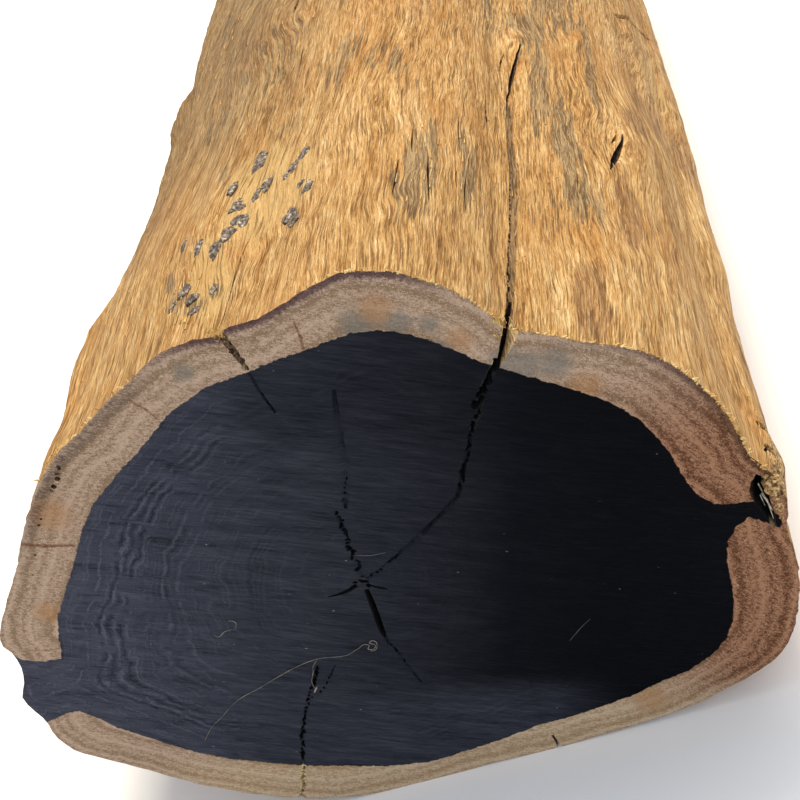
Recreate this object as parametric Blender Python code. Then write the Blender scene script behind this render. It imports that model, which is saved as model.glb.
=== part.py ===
# A length of African blackwood log with its bark taken off, sawn flat at both ends.
# It lies along Y with its freshly sawn front face towards -Y, on the flattest stretch
# of its underside. The origin is the middle of the footprint, at the resting surface.
#
# The outline of the front face, the drying checks that start there, the rotten pocket at
# its right rim, the knobs on the left shoulder and the knot on the right are all real
# features of this log. Angles are in degrees about the pith, counter-clockwise from the
# right as seen from the front face.

import math
import random

import bmesh
import bpy
from mathutils import Matrix, Vector

MM = 0.001

# Driving sizes
LENGTH = 0.457            # between the sawn faces, an 18 inch blank
PITH_HEIGHT = 0.0753      # pith above the resting surface
GIRTH_POINTS = 104        # points round the log
OUTLINE_SAMPLES = 1440    # fine steps along the outline when those points are shared out
NEAR_SPACING = 0.0085     # between stations along the first half of the log
FAR_SPACING = 0.0125      # between stations along the rest
NEAR_LENGTH = 0.24        # how far from the front face the near spacing goes
UNDERSIDE_DENSITY = 0.6   # points per millimetre of the underside, against 1 above
UNDERSIDE_SINES = (-0.2, -0.5)   # sines of the angles where the underside starts and is full
SHARP_EDGE = 40.0         # degrees between faces past which an edge shows as sharp

BARE_WOOD_COLOR = (0.60, 0.36, 0.13, 1.0)
BARE_WOOD_ROUGHNESS = 0.75

# Outline of the front face: angle, then millimetres from the pith
FRONT_OUTLINE = [
    (-177, 102.5), (-172, 102), (-168, 104.5), (-165, 104.5), (-160, 100.5), (-153, 95.5),
    (-144, 92), (-135, 89), (-126, 86), (-117, 83), (-109, 80), (-101, 77.5), (-94, 75.5),
    (-87, 75), (-81, 76), (-75, 78), (-69, 80.5), (-64, 83), (-56, 89), (-50, 94.5),
    (-44, 99.5), (-40, 103.5), (-35, 107), (-31, 107.5), (-25, 106.5), (-20, 105),
    (-15, 103), (-12, 102), (-7, 102.5), (-3, 101), (2, 97.5), (9, 97.5), (13, 97),
    (18, 96), (25, 93), (32, 87), (38, 84), (43, 82), (48, 84.5), (55, 87.5), (62, 89),
    (67, 88.5), (73, 84.5), (80, 80), (84, 79), (87, 79), (88.5, 77.5), (93, 79),
    (98, 79.5), (103, 78.5), (109, 77.5), (119, 77.5), (129, 80), (139, 81.5), (147, 83),
    (153, 84.5), (159, 87.5), (164, 91.5), (168, 95), (171.5, 97), (173.5, 95.5),
    (177, 96), (180, 98.5),
]

# Outline of the back face, calmer and without the furrow at the left
BACK_OUTLINE = [
    (-165, 99), (-150, 94), (-135, 89), (-120, 84), (-105, 78.5), (-90, 76), (-75, 79),
    (-60, 86.5), (-45, 97), (-30, 103), (-15, 102), (0, 99), (15, 95), (30, 89.5),
    (45, 86.5), (60, 88.5), (75, 85.5), (90, 81), (105, 79.5), (120, 79), (135, 82),
    (150, 88), (165, 95), (180, 99),
]
OUTLINE_CHANGE_FROM = 0.13   # the front outline runs straight back this far

# Corners of the front outline that have to stay crisp
CRISP_ANGLES = (43, 87, 88.5, 171.5, 173.5, -177, -172)

# Swells and hollows: angle, millimetres back from the front face, millimetres high,
# and the half widths round the log in degrees and along it in millimetres
SWELL_CUT_OFF = 3.0      # half widths past which a swell counts as nothing
SWELLS = [
    (143, 190, -4.4, 26, 112),   # long hollow of the left shoulder
    (143, 217, 4.2, 15, 15),     # the knob standing in it
    (142, 180, 1.5, 10, 7),
    (143, 74, 1.4, 14, 9),
    (143, 56, 2.6, 15, 16),      # low knob nearer the front
    (141, 27, -1.0, 12, 9),
    (-4, 10, 1.8, 7, 8),         # crusty lip of the rotten pocket
    (-7, 98, 0.8, 12, 13),
    (-8, 75, -0.9, 20, 40),
    (24, 86, 1.8, 8, 14),        # wood heaped round the knot
    (21, 106, 1.2, 7, 12),
    (40, 158, 1.6, 9, 15),       # knot that stops the long check
    (62, 118, -1.2, 12, 30),
    (95, 55, 0.9, 12, 26),       # stretch that kept scraps of bark
    (38, 300, 3.2, 20, 40),
    (104, 330, -3.0, 24, 50),
    (74, 395, 2.6, 18, 35),
    (-152, 130, 2.2, 22, 50),
    (-162, 320, -3.2, 24, 55),
    (-32, 350, -2.6, 20, 45),
    (-48, 210, 1.6, 16, 55),
    (176, 150, 2.4, 14, 60),
]

# Lengthwise flutes: how many round the log, millimetres deep, angle of the first crest,
# and degrees that they wind round the log per metre
FLUTES = [(9, 0.45, 20, 40), (15, 0.40, 8, 55), (24, 0.30, 11, 35), (37, 0.22, 5, 60)]
FLUTES_FROM = 0.03       # they are at full depth this far behind the front face

# Small uneven lumps, scattered
LUMP_COUNT = 70
LUMPS_FROM_MM = 30       # behind the front face
LUMP_HEIGHT_MM = 0.7
LUMP_LENGTH_MM = (8, 22)
LUMP_SPREAD_DEG = (5, 11)
LUMP_SEED = 11

# Checks, which are splits from drying. Each path starts at its mouth and is given as
# millimetres right of and above the pith; the gap is its width at the mouth and at the
# inner end, and the reach is how far behind the sawn face those two ends close.
# The drift turns the check about the pith on its way back, in degrees.
FRONT_CHECKS = {
    "check_top": dict(
        path=[(69, 64), (60, 55.5), (53, 47.5), (49, 42.5), (45, 36.5), (41, 31), (36, 22),
              (32, 16.5), (26, 12.5), (19, 8.5), (12.5, 5), (2, 0)],
        gap=(2.6, 0.5), reach=(158, 14), drift=-3.4),
    "check_bottom": dict(
        path=[(-59, -80), (-50.5, -69.5), (-45, -59), (-40, -47.5), (-35, -38.5),
              (-29, -30.5), (-23, -22.5)],
        gap=(1.9, 0.7), reach=(64, 9), drift=2.0),
    "check_bottom_fork": dict(
        path=[(-32, -35), (-26, -31.5), (-19, -24)],
        gap=(1.2, 0.6), reach=(9, 6), drift=0.0),
    "check_step": dict(
        path=[(2.6, 84), (3, 77), (3.4, 67), (3.5, 61), (3.8, 54)],
        gap=(1.5, 0.6), reach=(40, 8), drift=-2.5),
    "star_lower": dict(
        path=[(0, 1.5), (-0.3, -4), (-1.8, -13.5), (-2.7, -19.5), (-1.8, -27), (-1.4, -32),
              (-0.6, -38)],
        gap=(1.6, 0.7), reach=(11, 6), drift=0.0),
    "star_upper": dict(
        path=[(0, -1), (1.2, 10), (3.7, 22), (7.5, 25.5), (11.5, 33.5), (16, 47), (18.5, 55)],
        gap=(1.3, 0.7), reach=(9, 4), drift=0.0),
    "star_left": dict(
        path=[(1, 0), (-5, -1.6), (-10, -1.6)],
        gap=(1.2, 0.6), reach=(7, 4), drift=0.0),
    "star_right": dict(
        path=[(-1, 0.5), (3.5, -3.5), (6, -6)],
        gap=(1.1, 0.6), reach=(6, 4), drift=0.0),
}
BACK_CHECKS = {
    "back_check_wide": dict(
        path=[(64, 72), (57, 62), (46, 49), (35, 38), (22, 24), (8, 10), (-2, -1)],
        gap=(2.2, 0.7), reach=(90, 10), drift=2.5),
    "back_check_low": dict(
        path=[(-1, 1), (-12, -9), (-26, -18), (-40, -29), (-52, -36)],
        gap=(1.4, 0.7), reach=(9, 6), drift=0.0),
    "back_check_left": dict(
        path=[(1, 0), (-14, 9), (-28, 14), (-40, 22)],
        gap=(1.2, 0.6), reach=(8, 5), drift=0.0),
}
CHECK_SPACING_MM = 20    # between the cross sections of a check
CHECK_START = 0.001      # cutters begin this far outside the sawn face
CLOSED_GAP_SHARE = 0.25  # of the gap that is left where a check closes
CLOSED_PATH_SHARE = 0.2  # of the path that is left there, at the mouth

# Hollows: millimetres right of and above the pith and behind the front face, then the
# half sizes across, along and up, and the angle it is turned about the log's axis
HOLLOWS = {
    "rotten_pocket": dict(at=(96, -12, 2), half=(3.4, 15, 8.5), turn=14),
    "rotten_hole_low": dict(at=(101.5, -7, 29), half=(3.2, 3.2, 2.2), turn=0),
    "rotten_hole_high": dict(at=(102.5, -3, 14), half=(3.0, 2.6, 2.0), turn=0),
    "knot_eye": dict(at=(87.5, 39, 88), half=(4.0, 9.5, 1.7), turn=26),
    "knot_eye_side": dict(at=(83, 41.5, 95), half=(2.6, 7, 1.2), turn=26),
    "shoulder_pit": dict(at=(-60, 57, 205), half=(3.0, 4, 2.4), turn=0),
    "shoulder_pit_low": dict(at=(-65, 50, 196), half=(2.8, 3, 2.0), turn=0),
}
HOLLOW_ROUGHNESS = 0.16   # how uneven a hollow's wall is, as a share of its radius
HOLLOW_SEED = 5
CUTTER_DETAIL = 2         # subdivisions of the ball that cuts a hollow


def clear_scene():
    for obj in list(bpy.data.objects):
        bpy.data.objects.remove(obj, do_unlink=True)


def smooth_step(value):
    value = min(max(value, 0.0), 1.0)
    return value * value * (3.0 - 2.0 * value)


def wrapped(angle):
    # The same angle between -180 and 180
    return (angle + 180.0) % 360.0 - 180.0


class Outline:
    # A closed outline through (angle, radius) points. It is smooth, and it never swings
    # past a point, so notches and crests keep their size.

    def __init__(self, points):
        self.angles = [points[-1][0] - 360.0] + [p[0] for p in points] + [points[0][0] + 360.0]
        self.radii = [points[-1][1]] + [p[1] for p in points] + [points[0][1]]
        steps = [
            (self.radii[i + 1] - self.radii[i]) / (self.angles[i + 1] - self.angles[i])
            for i in range(len(self.radii) - 1)
        ]
        inner = [self.crest_slope(a, b) for a, b in zip(steps, steps[1:])]
        self.slopes = [inner[-1]] + inner + [inner[0]]

    @staticmethod
    def crest_slope(before, after):
        if before * after <= 0.0:
            return 0.0
        return 2.0 * before * after / (before + after)

    def radius(self, angle):
        angle = wrapped(angle)
        if angle < self.angles[0]:
            angle += 360.0
        if angle > self.angles[-1]:
            angle -= 360.0
        i = 0
        while self.angles[i + 1] < angle:
            i += 1
        width = self.angles[i + 1] - self.angles[i]
        t = (angle - self.angles[i]) / width
        keep = (1.0 + 2.0 * t) * (1.0 - t) ** 2
        rise = t * (1.0 - t) ** 2 * width
        fall = t * t * (t - 1.0) * width
        return (
            keep * self.radii[i]
            + (1.0 - keep) * self.radii[i + 1]
            + rise * self.slopes[i]
            + fall * self.slopes[i + 1]
        )


FRONT = Outline(FRONT_OUTLINE)
BACK = Outline(BACK_OUTLINE)


def scattered_lumps():
    draw = random.Random(LUMP_SEED)
    lumps = []
    for _ in range(LUMP_COUNT):
        lumps.append((
            draw.uniform(-180, 180),
            draw.uniform(LUMPS_FROM_MM, LENGTH / MM),
            draw.uniform(-1, 1) * LUMP_HEIGHT_MM,
            draw.uniform(*LUMP_SPREAD_DEG),
            draw.uniform(*LUMP_LENGTH_MM),
        ))
    return lumps


def swell_height(swells, angle, back_mm):
    height = 0.0
    for at_angle, at_back, peak, half_angle, half_length in swells:
        along = (back_mm - at_back) / half_length
        around = wrapped(angle - at_angle) / half_angle
        far_off = along * along + around * around
        if far_off < SWELL_CUT_OFF ** 2:
            height += peak * math.exp(-far_off)
    return height


def flute_height(angle, back):
    depth = 0.0
    for count, deep, first, wind in FLUTES:
        turned = math.radians(count * (angle - first - wind * back))
        depth += deep * math.sin(turned + math.sin(2.0 * turned / count + count * back))
    return depth * smooth_step(back / FLUTES_FROM)


def log_radius(swells, angle, back):
    # Distance from the pith to the surface, in metres, back metres behind the front face
    change = smooth_step((back - OUTLINE_CHANGE_FROM) / (LENGTH - OUTLINE_CHANGE_FROM))
    radius = FRONT.radius(angle) * (1.0 - change) + BACK.radius(angle) * change
    radius += swell_height(swells, angle, back / MM)
    radius += flute_height(angle, back)
    return radius * MM


def girth_angles():
    # Angles that space the points evenly along the outline, closer on top than below
    angles = [-180.0 + 360.0 * i / OUTLINE_SAMPLES for i in range(OUTLINE_SAMPLES + 1)]
    starts, full = UNDERSIDE_SINES
    travelled = [0.0]
    for a, b in zip(angles, angles[1:]):
        ra = FRONT.radius(a)
        rb = FRONT.radius(b)
        step = math.hypot(rb - ra, ra * math.radians(b - a))
        below = smooth_step((math.sin(math.radians(a)) - starts) / (full - starts))
        travelled.append(travelled[-1] + step * (1.0 + (UNDERSIDE_DENSITY - 1.0) * below))
    chosen = []
    at = 0
    for k in range(GIRTH_POINTS):
        goal = travelled[-1] * k / GIRTH_POINTS
        while travelled[at + 1] < goal:
            at += 1
        chosen.append(angles[at])
    for crisp in CRISP_ANGLES:
        nearest = min(range(GIRTH_POINTS), key=lambda i: abs(wrapped(chosen[i] - crisp)))
        chosen[nearest] = crisp
    return sorted(chosen)


def stations():
    # Distances behind the front face at which the girth is drawn
    near_count = round(NEAR_LENGTH / NEAR_SPACING)
    far_count = round((LENGTH - NEAR_LENGTH) / FAR_SPACING)
    near = [NEAR_LENGTH * i / near_count for i in range(near_count)]
    far = [NEAR_LENGTH + (LENGTH - NEAR_LENGTH) * i / far_count for i in range(far_count + 1)]
    return near + far


def add_object(name, mesh):
    obj = bpy.data.objects.new(name, mesh)
    bpy.context.collection.objects.link(obj)
    return obj


def build_log():
    # Rings of points joined by quads, with a sawn face across each end
    swells = SWELLS + scattered_lumps()
    angles = girth_angles()
    mesh = bpy.data.meshes.new("blackwood_log")
    bm = bmesh.new()
    rings = []
    for back in stations():
        ring = []
        for angle in angles:
            radius = log_radius(swells, angle, back)
            turn = math.radians(angle)
            height = max(PITH_HEIGHT + radius * math.sin(turn), 0.0)
            ring.append(bm.verts.new((radius * math.cos(turn), back - LENGTH / 2, height)))
        rings.append(ring)
    for ring, following in zip(rings, rings[1:]):
        for i in range(GIRTH_POINTS):
            j = (i + 1) % GIRTH_POINTS
            bm.faces.new((ring[i], ring[j], following[j], following[i]))
    bm.faces.new(list(reversed(rings[0])))
    bm.faces.new(rings[-1])
    bmesh.ops.recalc_face_normals(bm, faces=bm.faces)
    bm.to_mesh(mesh)
    bm.free()
    return add_object("blackwood_log", mesh)


def make_cutter(name, bm):
    mesh = bpy.data.meshes.new(name)
    bmesh.ops.recalc_face_normals(bm, faces=bm.faces)
    bm.to_mesh(mesh)
    bm.free()
    cutter = add_object(name, mesh)
    cutter.hide_render = True
    cutter.display_type = "WIRE"
    return cutter


def point_on_path(path, share):
    # A point and the sideways direction at a share of a path's length
    lengths = [(Vector(b) - Vector(a)).length for a, b in zip(path, path[1:])]
    goal = share * sum(lengths)
    last = len(lengths) - 1
    for i, length in enumerate(lengths):
        if goal <= length or i == last:
            break
        goal -= length
    start = Vector(path[i])
    along = Vector(path[i + 1]) - start
    point = start + along * min(goal / length, 1.0)
    before = Vector(path[max(i - 1, 0)])
    after = Vector(path[min(i + 2, last + 1)])
    heading = (after - before).normalized()
    return point, Vector((-heading.y, heading.x))


def open_share(depth_share, reach):
    # How much of a check's path is still open at a share of its depth. All of it is as far
    # back as the inner end reaches, and then the inner end draws towards the mouth.
    inner_closed = min(reach[1] / reach[0], 1.0)
    if depth_share <= inner_closed:
        return 1.0
    closing = (depth_share - inner_closed) / (1.0 - inner_closed)
    return 1.0 - closing * (1.0 - CLOSED_PATH_SHARE)


def check_cutter(name, path, gap, reach, drift, from_back=False):
    # A thin curved blade, widest at the sawn face and at the mouth. Its inner edge comes
    # outwards as it goes in, the way a drying check closes.
    bm = bmesh.new()
    columns = len(path) - 1
    steps = max(round(reach[0] / CHECK_SPACING_MM), 1)
    left = []
    right = []
    for k in range(steps + 1):
        depth_share = k / steps
        behind = -CHECK_START + (reach[0] * MM + CHECK_START) * depth_share
        y = LENGTH / 2 - behind if from_back else behind - LENGTH / 2
        turned = Matrix.Rotation(math.radians(drift * depth_share), 2)
        left_row = []
        right_row = []
        for c in range(columns + 1):
            point, side = point_on_path(path, open_share(depth_share, reach) * c / columns)
            half = (gap[0] + (gap[1] - gap[0]) * c / columns) / 2
            half *= 1.0 - (1.0 - CLOSED_GAP_SHARE) * depth_share
            for row, offset in ((left_row, half), (right_row, -half)):
                place = turned @ (point + side * offset) * MM
                row.append(bm.verts.new((place.x, y, place.y + PITH_HEIGHT)))
        left.append(left_row)
        right.append(right_row)
    for k in range(steps):
        for c in range(columns):
            bm.faces.new((left[k][c], left[k][c + 1], left[k + 1][c + 1], left[k + 1][c]))
            bm.faces.new((right[k][c], right[k + 1][c], right[k + 1][c + 1], right[k][c + 1]))
        bm.faces.new((left[k][0], left[k + 1][0], right[k + 1][0], right[k][0]))
        bm.faces.new((left[k][-1], right[k][-1], right[k + 1][-1], left[k + 1][-1]))
    for c in range(columns):
        for k in (0, steps):
            bm.faces.new((left[k][c], right[k][c], right[k][c + 1], left[k][c + 1]))
    return make_cutter(name, bm)


def hollow_cutter(name, at, half, turn, draw):
    # A rough ball, stretched to the hollow's half sizes
    bm = bmesh.new()
    bmesh.ops.create_icosphere(bm, subdivisions=CUTTER_DETAIL, radius=1.0)
    angle = math.radians(turn)
    for vert in bm.verts:
        uneven = 1.0 + draw.uniform(-HOLLOW_ROUGHNESS, HOLLOW_ROUGHNESS)
        across = vert.co.x * half[0] * uneven
        along = vert.co.y * half[1] * uneven
        up = vert.co.z * half[2] * uneven
        x = at[0] + across * math.cos(angle) - up * math.sin(angle)
        z = at[1] + across * math.sin(angle) + up * math.cos(angle)
        y = at[2] + along
        vert.co = (x * MM, y * MM - LENGTH / 2, z * MM + PITH_HEIGHT)
    return make_cutter(name, bm)


def cut(log, cutter):
    modifier = log.modifiers.new(cutter.name, "BOOLEAN")
    modifier.operation = "DIFFERENCE"
    modifier.solver = "EXACT"
    modifier.object = cutter


def cut_features(log):
    for name, check in FRONT_CHECKS.items():
        cut(log, check_cutter(name, **check))
    for name, check in BACK_CHECKS.items():
        cut(log, check_cutter(name, from_back=True, **check))
    draw = random.Random(HOLLOW_SEED)
    for name, hollow in HOLLOWS.items():
        cut(log, hollow_cutter(name, draw=draw, **hollow))


def centre_across(objects, log):
    # Slide everything sideways so that the footprint's middle is on the origin
    across = [vert.co.x for vert in log.data.vertices]
    middle = (min(across) + max(across)) / 2
    for obj in objects:
        for vert in obj.data.vertices:
            vert.co.x -= middle


def bare_wood():
    material = bpy.data.materials.new("bare blackwood")
    material.use_nodes = True
    shader = material.node_tree.nodes["Principled BSDF"]
    shader.inputs["Base Color"].default_value = BARE_WOOD_COLOR
    shader.inputs["Roughness"].default_value = BARE_WOOD_ROUGHNESS
    shader.inputs["Metallic"].default_value = 0.0
    return material


def main():
    clear_scene()
    log = build_log()
    log.data.shade_smooth()
    log.data.set_sharp_from_angle(angle=math.radians(SHARP_EDGE))
    log.data.materials.append(bare_wood())
    cut_features(log)
    centre_across(list(bpy.data.objects), log)


main()
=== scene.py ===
import math
import random

import bmesh
import bpy
import numpy as np
from mathutils import Matrix, Vector
from mathutils.geometry import delaunay_2d_cdt


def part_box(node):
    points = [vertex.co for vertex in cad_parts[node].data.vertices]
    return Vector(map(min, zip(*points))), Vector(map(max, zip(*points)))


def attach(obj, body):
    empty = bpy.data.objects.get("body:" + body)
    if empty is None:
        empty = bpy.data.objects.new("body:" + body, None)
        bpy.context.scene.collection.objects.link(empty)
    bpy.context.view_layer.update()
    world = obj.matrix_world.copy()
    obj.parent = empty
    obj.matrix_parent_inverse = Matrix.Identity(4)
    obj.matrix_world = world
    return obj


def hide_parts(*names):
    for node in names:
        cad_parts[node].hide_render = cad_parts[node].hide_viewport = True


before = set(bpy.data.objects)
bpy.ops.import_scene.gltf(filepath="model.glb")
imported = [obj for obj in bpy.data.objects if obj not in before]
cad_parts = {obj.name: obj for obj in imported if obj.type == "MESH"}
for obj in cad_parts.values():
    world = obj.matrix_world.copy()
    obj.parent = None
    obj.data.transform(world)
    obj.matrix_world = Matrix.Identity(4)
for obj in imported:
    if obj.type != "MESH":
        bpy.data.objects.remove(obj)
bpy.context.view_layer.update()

# A debarked log of African blackwood, lying on its side with its freshly sawn end in front.
# Everything is worked out in millimetres: angles are in degrees about the pith, counter-clockwise
# from the right, and "back" is the distance behind the front sawn face.

mm = 0.001
logLow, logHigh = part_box("blackwood_log")
frontFace = logLow.y
lengthMm = (logHigh.y - logLow.y) / mm
pith = {"across": 1.17, "height": 75.3}  # of the front face, in the part's own frame
meanRadius = 86.0  # of the side, to turn mm round it into degrees
checkRadius = 84.0  # the same, at the long check


# small helpers
def linearColour(hexColour):  # sRGB hex to the linear colour that nodes want
    value = hexColour.lstrip("#")
    channels = [int(value[i:i + 2], 16) / 255 for i in (0, 2, 4)]
    return [c / 12.92 if c <= 0.04045 else ((c + 0.055) / 1.055) ** 2.4 for c in channels] + [1.0]


def feed(tree, node, inputs):  # an input is linked to a socket or set to a value
    for key, value in inputs.items():
        if isinstance(value, bpy.types.NodeSocket):
            tree.links.new(value, node.inputs[key])
        else:
            node.inputs[key].default_value = value
    return node


def addNode(tree, kind, inputs=None, **settings):
    node = tree.nodes.new(kind)
    for key, value in settings.items():
        setattr(node, key, value)
    return feed(tree, node, inputs or {})


def smoothStep(value):
    value = np.clip(value, 0.0, 1.0)
    return value * value * (3.0 - 2.0 * value)


def wrapped(angle):  # the same angle between -180 and 180
    return (np.asarray(angle, float) + 180.0) % 360.0 - 180.0


def outlineThrough(points):
    # radius by angle through (angle, radius) points: smooth, and it never swings past a point
    angles = np.array([points[-1][0] - 360.0] + [p[0] for p in points] + [points[0][0] + 360.0])
    radii = np.array([points[-1][1]] + [p[1] for p in points] + [points[0][1]], float)
    steps = np.diff(radii) / np.diff(angles)
    same = steps[:-1] * steps[1:] > 0
    total = np.where(same, steps[:-1] + steps[1:], 1.0)
    inner = np.where(same, 2.0 * steps[:-1] * steps[1:] / total, 0.0)
    slopes = np.concatenate([inner[-1:], inner, inner[:1]])

    def radius(angle):
        angle = wrapped(angle)
        angle = np.where(angle < angles[0], angle + 360.0, angle)
        angle = np.where(angle > angles[-1], angle - 360.0, angle)
        i = np.clip(np.searchsorted(angles, angle) - 1, 0, len(angles) - 2)
        width = angles[i + 1] - angles[i]
        t = (angle - angles[i]) / width
        keep = (1.0 + 2.0 * t) * (1.0 - t) ** 2
        rise = t * (1.0 - t) ** 2 * width
        fall = t * t * (t - 1.0) * width
        return keep * radii[i] + (1.0 - keep) * radii[i + 1] + rise * slopes[i] + fall * slopes[i + 1]

    return radius


# the log's own shape
logShape = {
    "frontOutline": [
        (-177, 102.5), (-172, 102), (-168, 104.5), (-165, 104.5), (-160, 100.5), (-153, 95.5), (-144, 92),
        (-135, 89), (-126, 86), (-117, 83), (-109, 80), (-101, 77.5), (-94, 75.5), (-87, 75), (-81, 76),
        (-75, 78), (-69, 80.5), (-64, 83), (-56, 89), (-50, 94.5), (-44, 99.5), (-40, 103.5), (-35, 107),
        (-31, 107.5), (-25, 106.5), (-20, 105), (-15, 103), (-12, 102), (-7, 102.5), (-3, 101), (2, 97.5),
        (9, 97.5), (13, 97), (18, 96), (25, 93), (32, 87), (38, 84), (43, 82), (48, 84.5), (55, 87.5),
        (62, 89), (67, 88.5), (73, 84.5), (80, 80), (84, 79), (87, 79), (88.5, 77.5), (93, 79), (98, 79.5),
        (103, 78.5), (109, 77.5), (119, 77.5), (129, 80), (139, 81.5), (147, 83), (153, 84.5), (159, 87.5),
        (164, 91.5), (168, 95), (171.5, 97), (173.5, 95.5), (177, 96), (180, 98.5),
    ],
    "backOutline": [
        (-165, 99), (-150, 94), (-135, 89), (-120, 84), (-105, 78.5), (-90, 76), (-75, 79), (-60, 86.5),
        (-45, 97), (-30, 103), (-15, 102), (0, 99), (15, 95), (30, 89.5), (45, 86.5), (60, 88.5),
        (75, 85.5), (90, 81), (105, 79.5), (120, 79), (135, 82), (150, 88), (165, 95), (180, 99),
    ],
    "changeFrom": 130.0,  # the front outline runs straight back this far
    "swells": [  # angle, back, height, half degrees, half length
        (143, 190, -4.4, 26, 112), (143, 217, 4.2, 15, 15), (142, 180, 1.5, 10, 7), (143, 74, 1.4, 14, 9),
        (143, 56, 2.6, 15, 16), (141, 27, -1.0, 12, 9), (-4, 10, 1.8, 7, 8), (-7, 98, 0.8, 12, 13),
        (-8, 75, -0.9, 20, 40), (24, 86, 1.8, 8, 14), (21, 106, 1.2, 7, 12), (40, 158, 1.6, 9, 15),
        (62, 118, -1.2, 12, 30), (95, 55, 0.9, 12, 26), (38, 300, 3.2, 20, 40), (104, 330, -3.0, 24, 50),
        (74, 395, 2.6, 18, 35), (-152, 130, 2.2, 22, 50), (-162, 320, -3.2, 24, 55),
        (-32, 350, -2.6, 20, 45), (-48, 210, 1.6, 16, 55), (176, 150, 2.4, 14, 60),
    ],
    "flutes": [(9, 0.45, 20, 40), (15, 0.40, 8, 55), (24, 0.30, 11, 35), (37, 0.22, 5, 60)],
    "flutesFrom": 30.0,
    "lumps": {"count": 70, "from": 30, "height": 0.7, "spread": (5, 11), "length": (8, 22), "seed": 11},
    "topSpacing": 0.88,  # between points round the side that shows
    "lowSpacing": 3.0,  # and round the underside
    "nearSpacing": 1.9,  # between rings at the front
    "farSpacing": 5.0,  # and at the back
    "endGrid": 2.3,  # between points on the sawn faces
}

frontOutline = outlineThrough(logShape["frontOutline"])
backOutline = outlineThrough(logShape["backOutline"])


def allSwells():
    spec = logShape["lumps"]
    draw = random.Random(spec["seed"])
    lumps = []
    for _ in range(spec["count"]):
        lumps.append((
            draw.uniform(-180, 180), draw.uniform(spec["from"], lengthMm),
            draw.uniform(-1, 1) * spec["height"], draw.uniform(*spec["spread"]),
            draw.uniform(*spec["length"]),
        ))
    return logShape["swells"] + lumps


swells = allSwells()


def logRadius(angle, back):  # from the pith to the side, in mm
    angle, back = np.broadcast_arrays(np.asarray(angle, float), np.asarray(back, float))
    change = smoothStep((back - logShape["changeFrom"]) / (lengthMm - logShape["changeFrom"]))
    radius = frontOutline(angle) * (1.0 - change) + backOutline(angle) * change
    for atAngle, atBack, height, halfAngle, halfLength in swells:
        far = ((back - atBack) / halfLength) ** 2 + (wrapped(angle - atAngle) / halfAngle) ** 2
        radius = radius + np.where(far < 9.0, height * np.exp(-far), 0.0)
    fluted = 0.0
    metres = back * mm
    for count, deep, first, wind in logShape["flutes"]:
        turned = np.radians(count * (angle - first - wind * metres))
        fluted = fluted + deep * np.sin(turned + np.sin(2.0 * turned / count + count * metres))
    return radius + fluted * smoothStep(back / logShape["flutesFrom"])


def surfaceRadius(angle, back):  # the same, cut off flat where the log rests
    radius = logRadius(angle, back)
    down = -np.sin(np.radians(angle))
    return np.where(down > 0.05, np.minimum(radius, pith["height"] / np.maximum(down, 0.05)), radius)


def placeAt(angle, back, radius):  # millimetres in the part's frame
    turn = np.radians(angle)
    return np.stack(np.broadcast_arrays(
        pith["across"] + radius * np.cos(turn), back, pith["height"] + radius * np.sin(turn)), -1)


def toMetres(points):
    points = np.asarray(points, float)
    return np.stack([points[..., 0] * mm, frontFace + points[..., 1] * mm, points[..., 2] * mm], -1)


def polarOf(points):  # angle, back and radius of points in mm
    across = points[:, 0] - pith["across"]
    up = points[:, 2] - pith["height"]
    return np.degrees(np.arctan2(up, across)), points[:, 1], np.hypot(across, up)


# heartwood
heartShape = {  # boundary of the dark heart: angle, mm from the pith
    "front": [
        (-170.6, 91.6), (-168, 89.5), (-164, 87.9), (-160, 85.4), (-155, 83), (-148.5, 80.3), (-143, 77.9),
        (-135, 74.3), (-127.5, 72.3), (-118, 69.8), (-109, 69.5), (-99, 69.2), (-92, 67.8), (-82, 67.5),
        (-71, 68.6), (-65, 71.7), (-59, 75), (-53, 79), (-47, 83), (-42.5, 87.7), (-38, 90.7), (-34, 92.3),
        (-30, 92), (-26, 91), (-21.5, 89.2), (-17, 87.9), (-13, 88.3), (-10.6, 90.6), (-9.2, 93.6),
        (-10.1, 96.2), (-11.2, 98.6), (-11.9, 100.2), (-11.3, 101), (-9.6, 100.4), (-7.6, 97.4),
        (-6.3, 95.2), (-6.0, 92.4), (-5.9, 89.8), (-5.2, 86.7), (-3, 83.9), (-0.6, 82.6), (3, 82), (7, 82),
        (11, 81.6), (15.6, 81), (20, 79.8), (24, 77.9), (28, 75.8), (32.5, 74), (37, 72.6), (41, 72),
        (45, 71.6), (49, 72.5), (54, 73.5), (58, 74.2), (62, 74.3), (67, 73.2), (71.5, 71), (76, 69.1),
        (82, 67.9), (87, 66.8), (92, 66.8), (97, 67), (103, 66.2), (107, 65.8), (113.5, 64.5), (119, 64.2),
        (125, 65), (131, 65.9), (136, 67.3), (143.6, 68.6), (148, 69.4), (152, 70.3), (155, 71.3),
        (159, 73.6), (163, 75.8), (167, 78.8), (172, 81.3), (175, 82.5), (177, 84.4), (176.7, 88.7),
        (175.5, 93.6), (174, 96.2), (173.2, 101), (180, 108), (-173, 108), (-171.3, 103), (-171.2, 95),
    ],
    "sapAtBack": 15.5,  # thickness of the sapwood at the back face
}


def polygonOf(polar):
    angles = np.radians([p[0] for p in polar])
    radii = np.array([p[1] for p in polar], float)
    return np.stack([radii * np.cos(angles), radii * np.sin(angles)], -1)


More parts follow.
